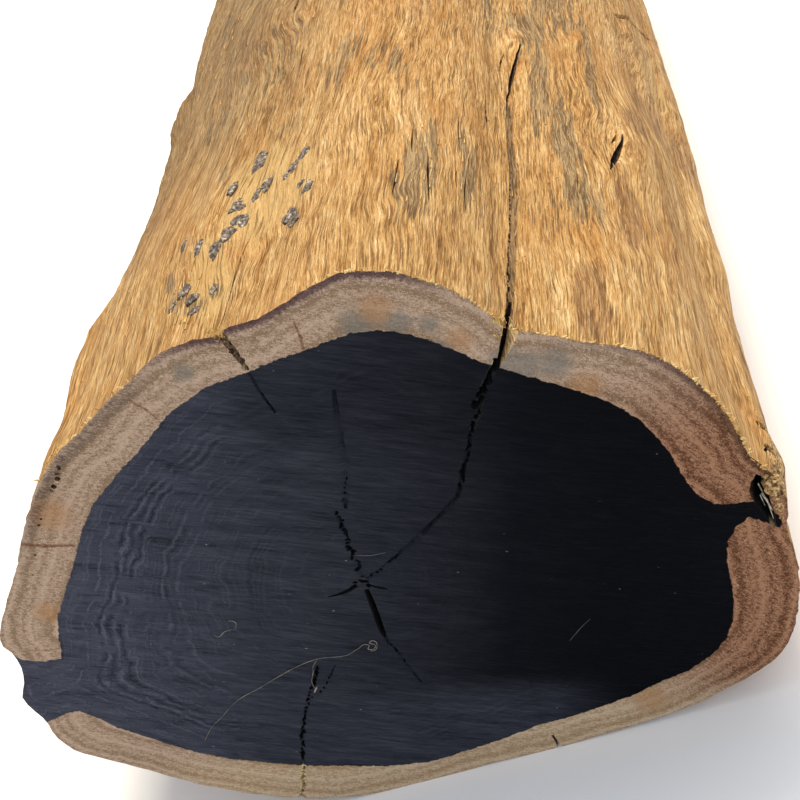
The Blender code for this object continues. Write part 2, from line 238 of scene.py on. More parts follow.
def signedDistance(points, corners):  # mm, positive inside the closed outline
    starts, ends = corners, np.roll(corners, -1, 0)
    nearest = np.full(len(points), 1e9)
    inside = np.zeros(len(points), bool)
    for a, b in zip(starts, ends):
        edge = b - a
        t = np.clip(((points - a) @ edge) / (edge @ edge), 0.0, 1.0)
        nearest = np.minimum(nearest, np.hypot(*(points - a - t[:, None] * edge).T))
        crosses = (a[1] > points[:, 1]) != (b[1] > points[:, 1])
        if a[1] != b[1]:
            at = a[0] + (points[:, 1] - a[1]) / (b[1] - a[1]) * edge[0]
            inside ^= crosses & (points[:, 0] < at)
    return np.where(inside, nearest, -nearest)


heartCorners = polygonOf(heartShape["front"])


def heartDepth(points):  # how far inside the heart a point lies
    angle, back, radius = polarOf(points)
    flat = np.stack([points[:, 0] - pith["across"], points[:, 2] - pith["height"]], -1)
    front = signedDistance(flat, heartCorners)
    sap = heartShape["sapAtBack"] + 1.6 * np.sin(np.radians(3 * angle + 40))
    sap = sap + 0.8 * np.sin(np.radians(7 * angle))
    rear = logRadius(angle, back) - sap - radius
    change = smoothStep((back - 60.0) / 160.0)
    return front * (1.0 - change) + rear * change


# how the fibres run
fibreFlow = {
    "leans": [  # angle, back, half degrees, half length, lean in degrees
        (104, 30, 12, 34, 5.0), (118, 60, 14, 50, 4.0), (108, 150, 14, 50, 5.5), (100, 235, 16, 50, -4.0),
        (8, 190, 14, 45, -6.0), (15, 140, 10, 26, 4.0), (70, 120, 12, 40, -2.2), (-40, 130, 20, 60, 3.0),
        (-140, 200, 25, 70, -4.0),
    ],
    "knots": [  # angle, back, half degrees, half length, push in degrees
        (21.8, 97, 5.5, 17, 3.6), (40, 150, 5.0, 16, 3.0), (143, 217, 9, 16, 5), (142, 60, 9, 16, 4),
        (60, 50, 3.5, 20, 1.2), (87, 186, 6, 14, 3.5), (112, 236, 6, 15, 3.5), (38, 300, 9, 26, 6),
        (-30, 250, 8, 20, 5), (74, 395, 9, 22, 6), (-2, 12, 5, 9, 3.0), (150, 340, 8, 20, 5),
    ],
    "waves": 26,
    "seed": 4,
}


def fibreLabel(angle, back):
    # the angle at which the fibre through a point would lie if it ran dead straight
    label = np.array(angle, float)
    for at, along, halfAround, halfAlong, lean in fibreFlow["leans"]:
        around = wrapped(angle - at) / halfAround
        length = (back - along) / halfAlong
        label = label - lean * length * np.exp(-around ** 2 - length ** 2)
    for at, along, halfAround, halfAlong, push in fibreFlow["knots"]:
        around = wrapped(angle - at) / halfAround
        length = (back - along) / halfAlong
        label = label - push * around * np.exp(-around ** 2 - length ** 2)
    draw = random.Random(fibreFlow["seed"])
    for i in range(fibreFlow["waves"]):
        longWave = i % 2 == 0
        turns = draw.randint(2, 16) if longWave else draw.randint(10, 60)
        wave = draw.uniform(45, 130) if longWave else draw.uniform(13, 34)
        size = 0.10 if longWave else 0.035
        phase = draw.uniform(0, 2 * math.pi)
        label = label + size * np.sin(np.radians(turns * angle) + 2 * math.pi * back / wave + phase)
    return label


def grainOf(angle, back):  # seamless pattern place in mm: two axes cross the fibres
    turn = np.radians(fibreLabel(angle, back))
    return np.stack([90.0 * np.cos(turn), back, 90.0 * np.sin(turn)], -1)


# stains and patches on the side
sidePatches = {  # angle, back, half mm round, half mm along, turn, strength
    "grey": [
        (58.6, 46, 4.2, 20, 4, 1.0), (56.4, 68, 1.8, 11, 0, 1.0), (60.8, 36, 2.4, 9, -4, 0.9),
        (49.7, 57, 1.9, 19, 2, 1.0), (51.0, 73, 1.4, 10, 0, 0.9), (31.8, 92, 3.4, 34, 2, 0.95),
        (30.2, 66, 2.4, 16, 3, 0.9), (34.8, 128, 3.2, 26, 0, 0.9), (27.8, 60, 1.2, 9, 0, 0.9),
        (25.8, 150, 1.5, 44, 0, 1.0), (36.2, 108, 1.2, 16, 2, 1.2), (37, 168, 7, 20, 0, 0.8),
        (31, 190, 8, 22, 0, 0.8), (45, 176, 4, 30, 0, 0.6), (92, 150, 12, 42, 0, 0.55),
        (74, 124, 9, 20, 0, 0.6), (65, 112, 6, 14, 0, 0.7), (106, 133, 8, 22, -6, 0.6),
        (110, 200, 18, 50, 0, 0.5), (99, 146, 3.4, 9, -20, 0.9), (120, 240, 16, 34, 0, 0.55),
        (103, 35, 2.2, 7, -14, 0.95), (98.6, 23, 3.2, 6, -10, 1.0), (94.5, 15, 4.4, 4, -8, 0.9),
        (91, 19, 2.4, 3.4, 0, 0.9), (83, 96, 4.5, 7, 0, 0.8), (96, 78, 2.5, 12, -8, 0.7),
        (60, 300, 20, 50, 0, 0.6), (110, 380, 22, 50, 0, 0.55), (10, 330, 16, 60, 0, 0.5),
        (-20, 200, 12, 50, 0, 0.5), (-35, 330, 18, 50, 0, 0.6), (165, 250, 14, 70, 0, 0.6),
        (-150, 120, 22, 60, 0, 0.6), (-60, 100, 14, 50, 0, 0.5), (-110, 300, 25, 60, 0, 0.6),
        (-165, 380, 20, 40, 0, 0.5),
    ],
    "brown": [
        (9, 150, 12, 15, 0, 0.72), (-1, 152, 6, 20, 0, 0.7), (17, 126, 6, 12, 0, 0.72),
        (30.6, 15, 3.4, 17, 0, 1.1), (22.6, 60, 2.4, 13, 4, 1.4), (24.0, 73, 1.5, 7, 4, 1.2),
        (-3.3, 48, 1.2, 18, 0, 1.0), (70, 30, 8, 10, 0, 0.25), (104, 170, 14, 50, 0, 0.5),
        (122, 90, 10, 60, 0, 0.45), (60, 150, 9, 22, 0, 0.45), (86, 205, 12, 30, 0, 0.5),
        (100, 310, 14, 50, 0, 0.5), (30, 260, 14, 30, 0, 0.5), (50, 400, 18, 40, 0, 0.5),
        (-10, 260, 12, 40, 0, 0.5), (-25, 60, 10, 40, 0, 0.5), (150, 130, 14, 60, 0, 0.5),
        (-80, 200, 18, 70, 0, 0.5), (175, 60, 12, 50, 0, 0.6), (-40, 420, 16, 30, 0, 0.5),
        (-130, 60, 16, 40, 0, 0.5), (70, 200, 16, 26, 0, 0.3),
    ],
    "pale": [
        (87, 62, 10, 27, -4, 1.0), (93, 26, 6, 18, -10, 0.95), (78, 58, 5, 16, 0, 0.8),
        (4, 195, 12, 24, 10, 0.6), (120, 232, 6, 12, 0, 0.5), (66, 380, 14, 30, 0, 0.6),
        (140, 300, 12, 40, 0, 0.5), (-50, 160, 10, 40, 0, 0.5), (-170, 200, 12, 50, 0, 0.5),
    ],
}


def patchField(name, angle, back):
    field = np.zeros(np.shape(angle))
    for at, along, halfAround, halfAlong, turn, strength in sidePatches[name]:
        around = np.radians(wrapped(angle - at)) * meanRadius
        length = back - along
        tilt = math.radians(turn)
        u = (around * math.cos(tilt) + length * math.sin(tilt)) / halfAround
        v = (length * math.cos(tilt) - around * math.sin(tilt)) / halfAlong
        field = np.maximum(field, strength * np.exp(-0.7 * (u * u + v * v) ** 1.4))
    return field


def crackShade(angle, back):  # soft dirt along the long check and its end
    line = np.interp(back, [0, 18, 36, 56, 77, 100, 117, 152], [42.8, 42, 41.4, 41, 40.7, 41, 40.9, 38.6])
    off = np.radians(wrapped(angle - line)) * checkRadius
    return np.exp(-(off / 1.35) ** 4) * (1.0 - smoothStep((back - 108) / 12.0))


# camera, floor and light
cameraSpec = {
    "place": (0.11586, -0.47668, 0.28655),
    "right": (0.91287, 0.03843, -0.40644),
    "up": (0.30594, 0.59477, 0.74340),
    "lens": 63.0,  # mm on a 36 mm sensor
}


def makeCamera():
    data = bpy.data.cameras.new("camera")
    data.lens = cameraSpec["lens"]
    data.sensor_width = 36.0
    data.clip_start, data.clip_end = 0.01, 50.0
    camera = bpy.data.objects.new("camera", data)
    bpy.context.scene.collection.objects.link(camera)
    right, up = Vector(cameraSpec["right"]), Vector(cameraSpec["up"])
    turned = Matrix((right, up, right.cross(up))).transposed()
    camera.matrix_world = Matrix.Translation(cameraSpec["place"]) @ turned.to_4x4()
    bpy.context.scene.camera = camera


studio = {
    "floorColour": "#F4F3F1",
    "floorSize": 14.0,
    "worldColour": "#EEF2F8",
    "worldStrength": 0.62,
    "aim": (0, -0.05, 0.08),  # the lights point here
    "lights": [  # name, place, size, watts, colour
        ("sunSide", (0.12, 0.5, 1.6), 0.6, 30.0, "#FFF1DC"),
        ("skyTop", (0.5, 0.3, 1.7), 1.6, 13.0, "#FFFFFF"),
        ("coolFront", (0.35, -1.6, 0.9), 1.6, 9.0, "#DCE8FF"),
    ],
}


def makeStudio():
    half = studio["floorSize"] / 2
    mesh = bpy.data.meshes.new("floor")
    corners = [(-half, -half, 0), (half, -half, 0), (half, half, 0), (-half, half, 0)]
    mesh.from_pydata(corners, [], [(0, 1, 2, 3)])
    floor = bpy.data.objects.new("floor", mesh)
    bpy.context.scene.collection.objects.link(floor)
    material = bpy.data.materials.new("matte studio floor")
    material.use_nodes = True
    shader = material.node_tree.nodes["Principled BSDF"]
    shader.inputs["Base Color"].default_value = linearColour(studio["floorColour"])
    shader.inputs["Roughness"].default_value = 0.9
    mesh.materials.append(material)
    world = bpy.data.worlds.new("studio")
    world.use_nodes = True
    feed(world.node_tree, world.node_tree.nodes["Background"], {
        "Color": linearColour(studio["worldColour"]), "Strength": studio["worldStrength"]})
    bpy.context.scene.world = world
    for name, place, size, watts, colour in studio["lights"]:
        light = bpy.data.lights.new(name, "AREA")
        light.size = size
        light.energy = watts
        light.color = linearColour(colour)[:3]
        lamp = bpy.data.objects.new(name, light)
        lamp.location = place
        aim = Vector(studio["aim"]) - Vector(place)
        lamp.rotation_euler = aim.to_track_quat("-Z", "Y").to_euler()
        bpy.context.scene.collection.objects.link(lamp)
    bpy.context.scene.view_settings.view_transform = "Standard"


# materials
def newMaterial(name):
    material = bpy.data.materials.new(name)
    material.use_nodes = True
    tree = material.node_tree
    return material, tree, tree.nodes["Principled BSDF"]


def placeInMm(tree):
    place = addNode(tree, "ShaderNodeTexCoord").outputs["Object"]
    return addNode(tree, "ShaderNodeVectorMath", {0: place, "Scale": 1 / mm}, operation="SCALE").outputs[0]


def noiseAt(tree, place, stretch, detail=3.0, roughness=0.55, distortion=0.0, offset=(0, 0, 0)):
    # noise in a place given in mm, with the size of its grain on each axis in mm
    scaled = addNode(tree, "ShaderNodeVectorMath", {
        0: place, 1: [1.0 / s for s in stretch]}, operation="MULTIPLY")
    moved = addNode(tree, "ShaderNodeVectorMath", {0: scaled.outputs[0], 1: offset}, operation="ADD")
    return addNode(tree, "ShaderNodeTexNoise", {
        "Vector": moved.outputs[0], "Scale": 1.0, "Detail": detail, "Roughness": roughness,
        "Distortion": distortion}).outputs["Fac"]


def remap(tree, value, low, high, toLow=0.0, toHigh=1.0, smooth=True):
    return addNode(tree, "ShaderNodeMapRange", {
        "Value": value, "From Min": low, "From Max": high, "To Min": toLow, "To Max": toHigh},
        interpolation_type="SMOOTHSTEP" if smooth else "LINEAR").outputs["Result"]


def calc(tree, operation, *values, clamp=False):
    return addNode(
        tree, "ShaderNodeMath", dict(enumerate(values)), operation=operation, use_clamp=clamp).outputs[0]


def times(tree, first, second):
    return calc(tree, "MULTIPLY", first, second)


def plus(tree, first, second):
    return calc(tree, "ADD", first, second)


def minus(tree, first, second):
    return calc(tree, "SUBTRACT", first, second)


def mixColour(tree, factor, first, second, how="MIX"):
    first = linearColour(first) if isinstance(first, str) else first
    second = linearColour(second) if isinstance(second, str) else second
    return addNode(tree, "ShaderNodeMix", {
        0: factor, 6: first, 7: second}, data_type="RGBA", blend_type=how).outputs[2]


def mixValue(tree, factor, first, second):
    return addNode(tree, "ShaderNodeMix", {0: factor, 2: first, 3: second}, data_type="FLOAT").outputs[0]


def turnedBy(tree, place, degrees):  # the place turned in the plane of the sawn face
    return addNode(tree, "ShaderNodeVectorRotate", {
        "Vector": place, "Angle": math.radians(degrees)}, rotation_type="Y_AXIS").outputs[0]


def readAttribute(tree, name, output="Fac"):
    return addNode(tree, "ShaderNodeAttribute", attribute_name=name).outputs[output]


def colourRamp(tree, value, stops):
    node = addNode(tree, "ShaderNodeValToRGB", {"Fac": value})
    ramp = node.color_ramp
    while len(ramp.elements) < len(stops):
        ramp.elements.new(0.5)
    for element, (place, colour) in zip(ramp.elements, stops):
        element.position = place
        element.color = linearColour(colour)
    return node.outputs["Color"]


def bumpFrom(tree, height, distance, strength=1.0, normal=None):
    inputs = {"Height": height, "Distance": distance, "Strength": strength}
    if normal is not None:
        inputs["Normal"] = normal
    return addNode(tree, "ShaderNodeBump", inputs).outputs["Normal"]


sideFinish = {  # the outside, in sRGB
    "groove": "#684420", "low": "#9A6F39", "middle": "#B88E55", "high": "#D0AA70", "crest": "#E6CC9A",
    "orange": "#B07838", "brown": "#A88052", "brownDark": "#704D2C", "grey": "#A0865E",
    "greyDark": "#58462F", "pale": "#CDAB6E",
    # the colour of the painted shade on the far side
    "paintedSideShade": "#86704E",
    "fibreWidth": 0.4, "fibreLength": 7.0,  # mm
}


def fibreCells(tree, grain, width, length, wander):
    # long narrow cells, one a fibre, each with its own tone
    wide = 1 / (width * 3)
    warp = addNode(tree, "ShaderNodeVectorMath", {
        0: grain, 1: (wide, 1 / (length * 0.3), wide)}, operation="MULTIPLY").outputs[0]
    warp = addNode(tree, "ShaderNodeTexNoise", {
        "Vector": warp, "Scale": 1.0, "Detail": 1.0, "Roughness": 0.5}).outputs["Color"]
    cells = addNode(tree, "ShaderNodeVectorMath", {
        0: grain, 1: (1 / width, 1 / length, 1 / width)}, operation="MULTIPLY").outputs[0]
    cells = addNode(tree, "ShaderNodeVectorMath", {
        0: warp, 1: (wander, wander * 0.5, wander), 2: cells}, operation="MULTIPLY_ADD").outputs[0]
    tone = addNode(tree, "ShaderNodeTexVoronoi", {
        "Vector": cells, "Scale": 1.0}, feature="F1").outputs["Color"]
    return addNode(tree, "ShaderNodeSeparateColor", {"Color": tone}).outputs[0]


def weatheredSapwood():
    # African blackwood sapwood with the bark peeled off and left outdoors: stringy, matt, golden
    # tan, with fibres about a millimetre wide that run along the log, darker between them: partly their own
    # tone, partly painted shade in the grooves and painted highlight on the crests
    material, tree, shader = newMaterial("weathered sapwood")
    grain = readAttribute(tree, "grain", "Vector")
    width, length = sideFinish["fibreWidth"], sideFinish["fibreLength"]
    fine = noiseAt(tree, grain, (width, length, width), 3, 0.62, 0.1)
    thread = noiseAt(tree, grain, (width * 0.5, length * 0.5, width * 0.5), 2, 0.5, 0.1, (7, 3, 1))
    broad = noiseAt(tree, grain, (width * 9, length * 7, width * 9), 3, 0.5, 0.1, (2, 9, 4))
    cloud = noiseAt(tree, grain, (24, 40, 24), 3, 0.5, 0.4, (5, 1, 8))
    streak = noiseAt(tree, grain, (1.1, 17, 1.1), 2, 0.55, 0.2, (3, 5, 2))
    split = noiseAt(tree, grain, (0.5, 15, 0.5), 2, 0.4, 0.0, (11, 2, 6))
    strand = fibreCells(tree, grain, 0.48, 8.0, 0.6)
    mixed = plus(tree, times(tree, fine, 0.32), times(tree, thread, 0.23))
    mixed = plus(tree, mixed, times(tree, broad, 0.2))
    mixed = plus(tree, mixed, remap(tree, strand, 0.0, 1.0, 0.085, 0.165, False))
    # the fibres' own tone, with painted shade in the grooves and painted highlight on the crests
    colour = colourRamp(tree, mixed, [
        (0.375, sideFinish["groove"]), (0.44, sideFinish["low"]), (0.50, sideFinish["middle"]),
        (0.56, sideFinish["high"]), (0.635, sideFinish["crest"])])
    orange = remap(tree, cloud, 0.46, 0.66, 0.0, 0.34)
    colour = mixColour(tree, orange, colour, sideFinish["orange"])
    ragged = minus(tree, streak, 0.5)  # makes the edges of the patches uneven
    paleMask = plus(tree, readAttribute(tree, "pale"), times(tree, ragged, 1.1))
    colour = mixColour(tree, remap(tree, paleMask, 0.44, 0.56, 0.0, 0.55), colour, sideFinish["pale"])
    brownMask = plus(tree, readAttribute(tree, "brown"), times(tree, ragged, 1.0))
    brownTone = mixColour(tree, remap(tree, mixed, 0.42, 0.58), sideFinish["brownDark"], sideFinish["brown"])
    colour = mixColour(tree, remap(tree, brownMask, 0.4, 0.62, 0.0, 0.72), colour, brownTone)
    greyTone = mixColour(tree, remap(tree, mixed, 0.42, 0.57), sideFinish["greyDark"], sideFinish["grey"])
    greyMask = plus(tree, readAttribute(tree, "grey"), times(tree, ragged, 2.2))
    colour = mixColour(tree, remap(tree, greyMask, 0.5, 0.66, 0.0, 0.8), colour, greyTone)
    # painted shade: the side darker and greyer towards its upper left and its back, and on the lower left
    paintedSideShadeTone = mixColour(tree, remap(tree, mixed, 0.4, 0.6), sideFinish["greyDark"], sideFinish["paintedSideShade"])
    colour = mixColour(tree, readAttribute(tree, "paintedSideShade"), colour, paintedSideShadeTone)
    # painted shade in thin gaps between bundles of fibres, open in some stretches and shut in others
    where = remap(tree, noiseAt(tree, grain, (6, 22, 6), 2, 0.6, 0.0, (1, 5, 9)), 0.4, 0.62, -0.05, 0.03)
    gapShade = remap(tree, plus(tree, split, where), 0.59, 0.66)
    colour = mixColour(tree, times(tree, gapShade, 0.62), colour, "#6A4A26")
    crumble = plus(tree, readAttribute(tree, "crumble"), times(tree, minus(tree, broad, 0.5), 1.2))
    place = addNode(tree, "ShaderNodeTexCoord").outputs["Object"]
    crumbTone = noiseAt(tree, place, (0.0009, 0.0016, 0.0009), 3, 0.6, 1.2)
    crumbTone = colourRamp(tree, crumbTone, [
        (0.4, "#3A2A18"), (0.47, "#8A6A42"), (0.56, "#B9945E"), (0.64, "#DDBC85")])
    colour = mixColour(tree, remap(tree, crumble, 0.4, 0.6, 0.0, 0.95), colour, crumbTone)
    dirt = plus(tree, readAttribute(tree, "dirt"), times(tree, minus(tree, fine, 0.5), 0.8))
    dirt = remap(tree, dirt, 0.3, 0.75)
    olive = mixColour(tree, remap(tree, mixed, 0.42, 0.58), "#4C3A21", "#957650")
    colour = mixColour(tree, times(tree, dirt, 0.88), colour, olive)
    rough = remap(tree, mixed, 0.4, 0.6, 0.88, 0.7)
    height = plus(tree, times(tree, fine, 0.42), times(tree, thread, 0.32))
    height = minus(tree, height, times(tree, remap(tree, split, 0.57, 0.66), 0.2))
    feed(tree, shader, {
        "Base Color": colour, "Roughness": rough, "Normal": bumpFrom(tree, height, 0.0014),
        "Specular IOR Level": 0.25})
    return material


endFinish = {  # the fresh saw cut, in sRGB
    "heartWithSheen": "#3B3E49", "heartBlack": "#04050A", "heartLineWithSheen": "#656874", "heartDeep": "#0B0C10",
    "sapPink": "#BCA28B", "sapPinkDark": "#887057", "sapRed": "#A47A5E", "sapRedDark": "#5C3B28",
    "sapPale": "#C9B294", "sapPaleDark": "#A1825F",
    "rimPurple": "#5A4044", "poreDark": "#4E403C", "crack": "#6E4630", "stain": "#6B6C66",
    "stainOrange": "#A97A4C",
    "sawTurn": 30.0, "sawTurnRight": 56.0, "poreTurn": 40.0,  # degrees that the saw marks fall to the right
}


faceLines = {  # hairline cracks of the sawn sapwood
    "cracks": [  # both ends about the pith, mm wide, strength
        ((-73, 43.0), (-66.5, 39.6), 1.0, 0.8), ((-66.5, 39.6), (-60, 37.2), 0.8, 0.8),
        ((-24.6, 69.6), (-22.6, 66.2), 0.6, 0.6), ((-22.6, 66.2), (-21.4, 63.0), 0.5, 0.6),
        ((18.6, 74.5), (18.3, 71), 0.5, 0.75), ((18.3, 71), (17.4, 67.6), 0.6, 0.75),
        ((-90, 10.0), (-86.5, 8.4), 0.4, 0.3), ((-86.5, 8.4), (-83, 7.8), 0.5, 0.5),
    ],
}


def lineMask(tree, place, start, end, thick, uneven):
    # 1 along a straight line on the sawn face, with ragged edges
    start = (pith["across"] + start[0], 0.0, pith["height"] + start[1])
    way = (pith["across"] + end[0] - start[0], 0.0, pith["height"] + end[1] - start[2])
    flat = addNode(tree, "ShaderNodeVectorMath", {0: place, 1: (1, 0, 1)}, operation="MULTIPLY").outputs[0]
    rel = addNode(tree, "ShaderNodeVectorMath", {0: flat, 1: start}, operation="SUBTRACT").outputs[0]
    along = addNode(tree, "ShaderNodeVectorMath", {0: rel, 1: way}, operation="DOT_PRODUCT").outputs["Value"]
    share = calc(tree, "DIVIDE", along, way[0] ** 2 + way[2] ** 2, clamp=True)
    nearest = addNode(tree, "ShaderNodeVectorMath", {0: way, "Scale": share}, operation="SCALE").outputs[0]
    off = addNode(tree, "ShaderNodeVectorMath", {0: rel, 1: nearest}, operation="DISTANCE").outputs["Value"]
    off = plus(tree, off, times(tree, uneven, thick * 1.6))
    return remap(tree, off, thick * 0.9, thick * 1.7, 1.0, 0.0)


def sawnEnd():
    # fresh bandsaw cut across blackwood: dense slate-black heart with a dull polish and a painted grey sky
    # sheen that fades to the right, rings that show as faint arcs, saw marks that fall to the right, and
    # open, softer, pinkish sapwood
    material, tree, shader = newMaterial("bandsawn end grain")
    place = placeInMm(tree)
    turned = turnedBy(tree, place, -endFinish["sawTurn"])
    inHeart = readAttribute(tree, "heart")
    below = readAttribute(tree, "rim")
    ring = readAttribute(tree, "ring")
    # saw marks: long streaks under a millimetre wide
    saw = noiseAt(tree, turned, (5.5, 30, 0.42), 3, 0.6, 0.1)
    sawFine = noiseAt(tree, turned, (5, 30, 0.3), 2, 0.6, 0.0, (3, 0, 8))
    sawWide = noiseAt(tree, turned, (15, 30, 2.2), 3, 0.55, 0.3, (6, 0, 2))
    crumb = noiseAt(tree, place, (0.7, 5, 0.7), 3, 0.6, 0.4)
    curl = noiseAt(tree, place, (0.55, 5, 0.55), 3, 0.6, 1.6, (4, 0, 7))
    patch = noiseAt(tree, place, (14, 20, 14), 3, 0.55, 0.5, (2, 0, 3))
    # rings follow the attribute, a little uneven
    uneven = plus(tree, times(tree, patch, 8.0), times(tree, curl, 2.4))
    ringPlace = addNode(tree, "ShaderNodeCombineXYZ", {"X": plus(tree, ring, uneven)}).outputs[0]
    rings = noiseAt(tree, ringPlace, (1.15, 1, 1), 3, 0.6, 0.0)
    ringShow = remap(tree, noiseAt(tree, place, (6, 20, 6), 3, 0.65, 1.0, (9, 0, 5)), 0.4, 0.55)
    # the rings show more where the painted sheen is
    ringShow = times(tree, ringShow, remap(tree, readAttribute(tree, "heartSkySheen"), 0.4, 0.85, 0.25, 1.0))
    # heart: near black, painted greyer and bluer towards the left as a sky reflection, with its saw lines and
    # ring arcs lighter there
    left = readAttribute(tree, "heartSkySheen")
    heart = mixColour(tree, left, endFinish["heartBlack"], endFinish["heartWithSheen"])
    tone = plus(tree, times(tree, saw, 0.55), times(tree, sawWide, 0.45))
    lineWithSheen = mixColour(tree, left, "#0E0F13", endFinish["heartLineWithSheen"])
    lift = remap(tree, tone, 0.44, 0.68, 0.0, 0.4)
    heart = mixColour(tree, times(tree, lift, remap(tree, left, 0.4, 1.0, 0.95, 0.7)), heart, lineWithSheen)
    deep = remap(tree, tone, 0.32, 0.46, 0.6, 0.0)
    heart = mixColour(tree, deep, heart, endFinish["heartDeep"])
    arcs = times(tree, remap(tree, rings, 0.5, 0.6, 0.0, 0.62), ringShow)
    heart = mixColour(tree, arcs, heart, lineWithSheen)
    arcsDark = times(tree, remap(tree, rings, 0.34, 0.47, 0.7, 0.0), ringShow)
    heart = mixColour(tree, arcsDark, heart, endFinish["heartDeep"])
    # sapwood
    red = readAttribute(tree, "red")
    lightTone = readAttribute(tree, "lightSap")
    sapLight = mixColour(tree, red, endFinish["sapPink"], endFinish["sapRed"])
    sapLight = mixColour(tree, lightTone, sapLight, endFinish["sapPale"])
    sapDark = mixColour(tree, red, endFinish["sapPinkDark"], endFinish["sapRedDark"])
    sapDark = mixColour(tree, lightTone, sapDark, endFinish["sapPaleDark"])
    bandPlace = plus(tree, below, times(tree, patch, 6.0))
    bandPlace = addNode(tree, "ShaderNodeCombineXYZ", {"X": bandPlace}).outputs[0]
    bands = noiseAt(tree, bandPlace, (2.6, 1, 1), 2, 0.5, 0.0, (4, 0, 0))
    pores = noiseAt(tree, turned, (1.3, 5, 0.36), 3, 0.6, 0.6, (1, 0, 1))
    steeper = turnedBy(tree, place, -endFinish["sawTurnRight"])
    poresRight = noiseAt(tree, steeper, (1.1, 5, 0.34), 3, 0.6, 0.6, (1, 0, 1))
    across = addNode(tree, "ShaderNodeSeparateXYZ", {0: place}).outputs[0]
    pores = mixValue(tree, remap(tree, across, 35, 75), pores, poresRight)
    sapTone = plus(tree, times(tree, pores, 0.3), times(tree, bands, 0.34))
    sapTone = plus(tree, sapTone, times(tree, curl, 0.36))
    sap = mixColour(tree, remap(tree, sapTone, 0.43, 0.56), sapDark, sapLight)
    sap = mixColour(tree, remap(tree, curl, 0.6, 0.72, 0.0, 0.4), sap, sapLight)
    sap = mixColour(tree, remap(tree, curl, 0.64, 0.74, 0.0, 0.45), sap, "#E0CDB4")
    sap = mixColour(tree, remap(tree, curl, 0.40, 0.30, 0.0, 0.4), sap, sapDark)
    stain = plus(tree, readAttribute(tree, "stain"), times(tree, minus(tree, pores, 0.5), 1.6))
    sap = mixColour(tree, remap(tree, stain, 0.35, 0.8, 0.0, 0.62), sap, endFinish["stain"])
    stain = plus(tree, readAttribute(tree, "orange"), times(tree, minus(tree, pores, 0.5), 1.2))
    sap = mixColour(tree, remap(tree, stain, 0.35, 0.85, 0.0, 0.5), sap, endFinish["stainOrange"])
    # the dark pore band inside the rim, and the rim itself
    inward = turnedBy(tree, place, -endFinish["poreTurn"])
    strokes = noiseAt(tree, inward, (1.8, 5, 0.5), 3, 0.65, 0.8, (8, 1, 3))
    outerPart = remap(tree, plus(tree, below, times(tree, crumb, 3.0)), 3.4, 6.2, 1.0, 0.0)
    innerPart = remap(tree, plus(tree, below, times(tree, crumb, 1.2)), 0.7, 1.5)
    poreBand = times(tree, outerPart, innerPart)
    poreBand = times(tree, poreBand, readAttribute(tree, "poreSide"))
    poreBand = times(tree, poreBand, remap(tree, strokes, 0.44, 0.56, 0.4, 1.0))
    sap = mixColour(tree, times(tree, poreBand, 0.72), sap, endFinish["poreDark"])
    for start, end, thick, strength in faceLines["cracks"]:
        mask = times(tree, lineMask(tree, place, start, end, thick, crumb), strength)
        sap = mixColour(tree, mask, sap, endFinish["crack"])
    rimDirt = remap(tree, plus(tree, below, times(tree, crumb, 3.0)), 2.6, 4.2, 1.0, 0.0)
    rimDirt = times(tree, rimDirt, readAttribute(tree, "purple"))
    rimTone = mixColour(tree, remap(tree, curl, 0.42, 0.6), "#3F2A2E", endFinish["rimPurple"])
    rimRed = mixColour(tree, remap(tree, curl, 0.42, 0.6), "#3A271C", "#5E4230")
    rimTone = mixColour(tree, red, rimTone, rimRed)
    sap = mixColour(tree, times(tree, rimDirt, 0.85), sap, rimTone)
    # the boundary is crisp, with teeth about a millimetre long
    teeth = noiseAt(tree, place, (1.7, 6, 1.7), 2, 0.5, 0.3, (5, 5, 5))
    teeth = times(tree, minus(tree, teeth, 0.5), 1.3)
    edge = remap(tree, plus(tree, inHeart, teeth), -0.10, 0.16)
    colour = mixColour(tree, edge, sap, heart)
    # pale dust and splinters that the saw left on the heart
    dust = remap(tree, noiseAt(tree, turned, (1.9, 4, 0.6), 1, 0.3, 0.0, (6, 2, 7)), 0.80, 0.82)
    colour = mixColour(tree, times(tree, dust, 0.7), colour, "#9A958C")
    heartRough = remap(tree, saw, 0.35, 0.65, 0.62, 0.46)
    rough = mixValue(tree, edge, 0.82, heartRough)
    relief = plus(tree, times(tree, saw, 0.6), times(tree, sawFine, 0.4))
    relief = plus(tree, relief, times(tree, times(tree, rings, ringShow), times(tree, edge, 1.6)))
    sapRelief = plus(tree, times(tree, pores, 0.3), times(tree, curl, 0.9))
    relief = plus(tree, relief, times(tree, sapRelief, minus(tree, 1.0, edge)))
    feed(tree, shader, {
        "Base Color": colour, "Roughness": rough, "Normal": bumpFrom(tree, relief, 0.0004),
        "Specular IOR Level": 0.03})
    return material


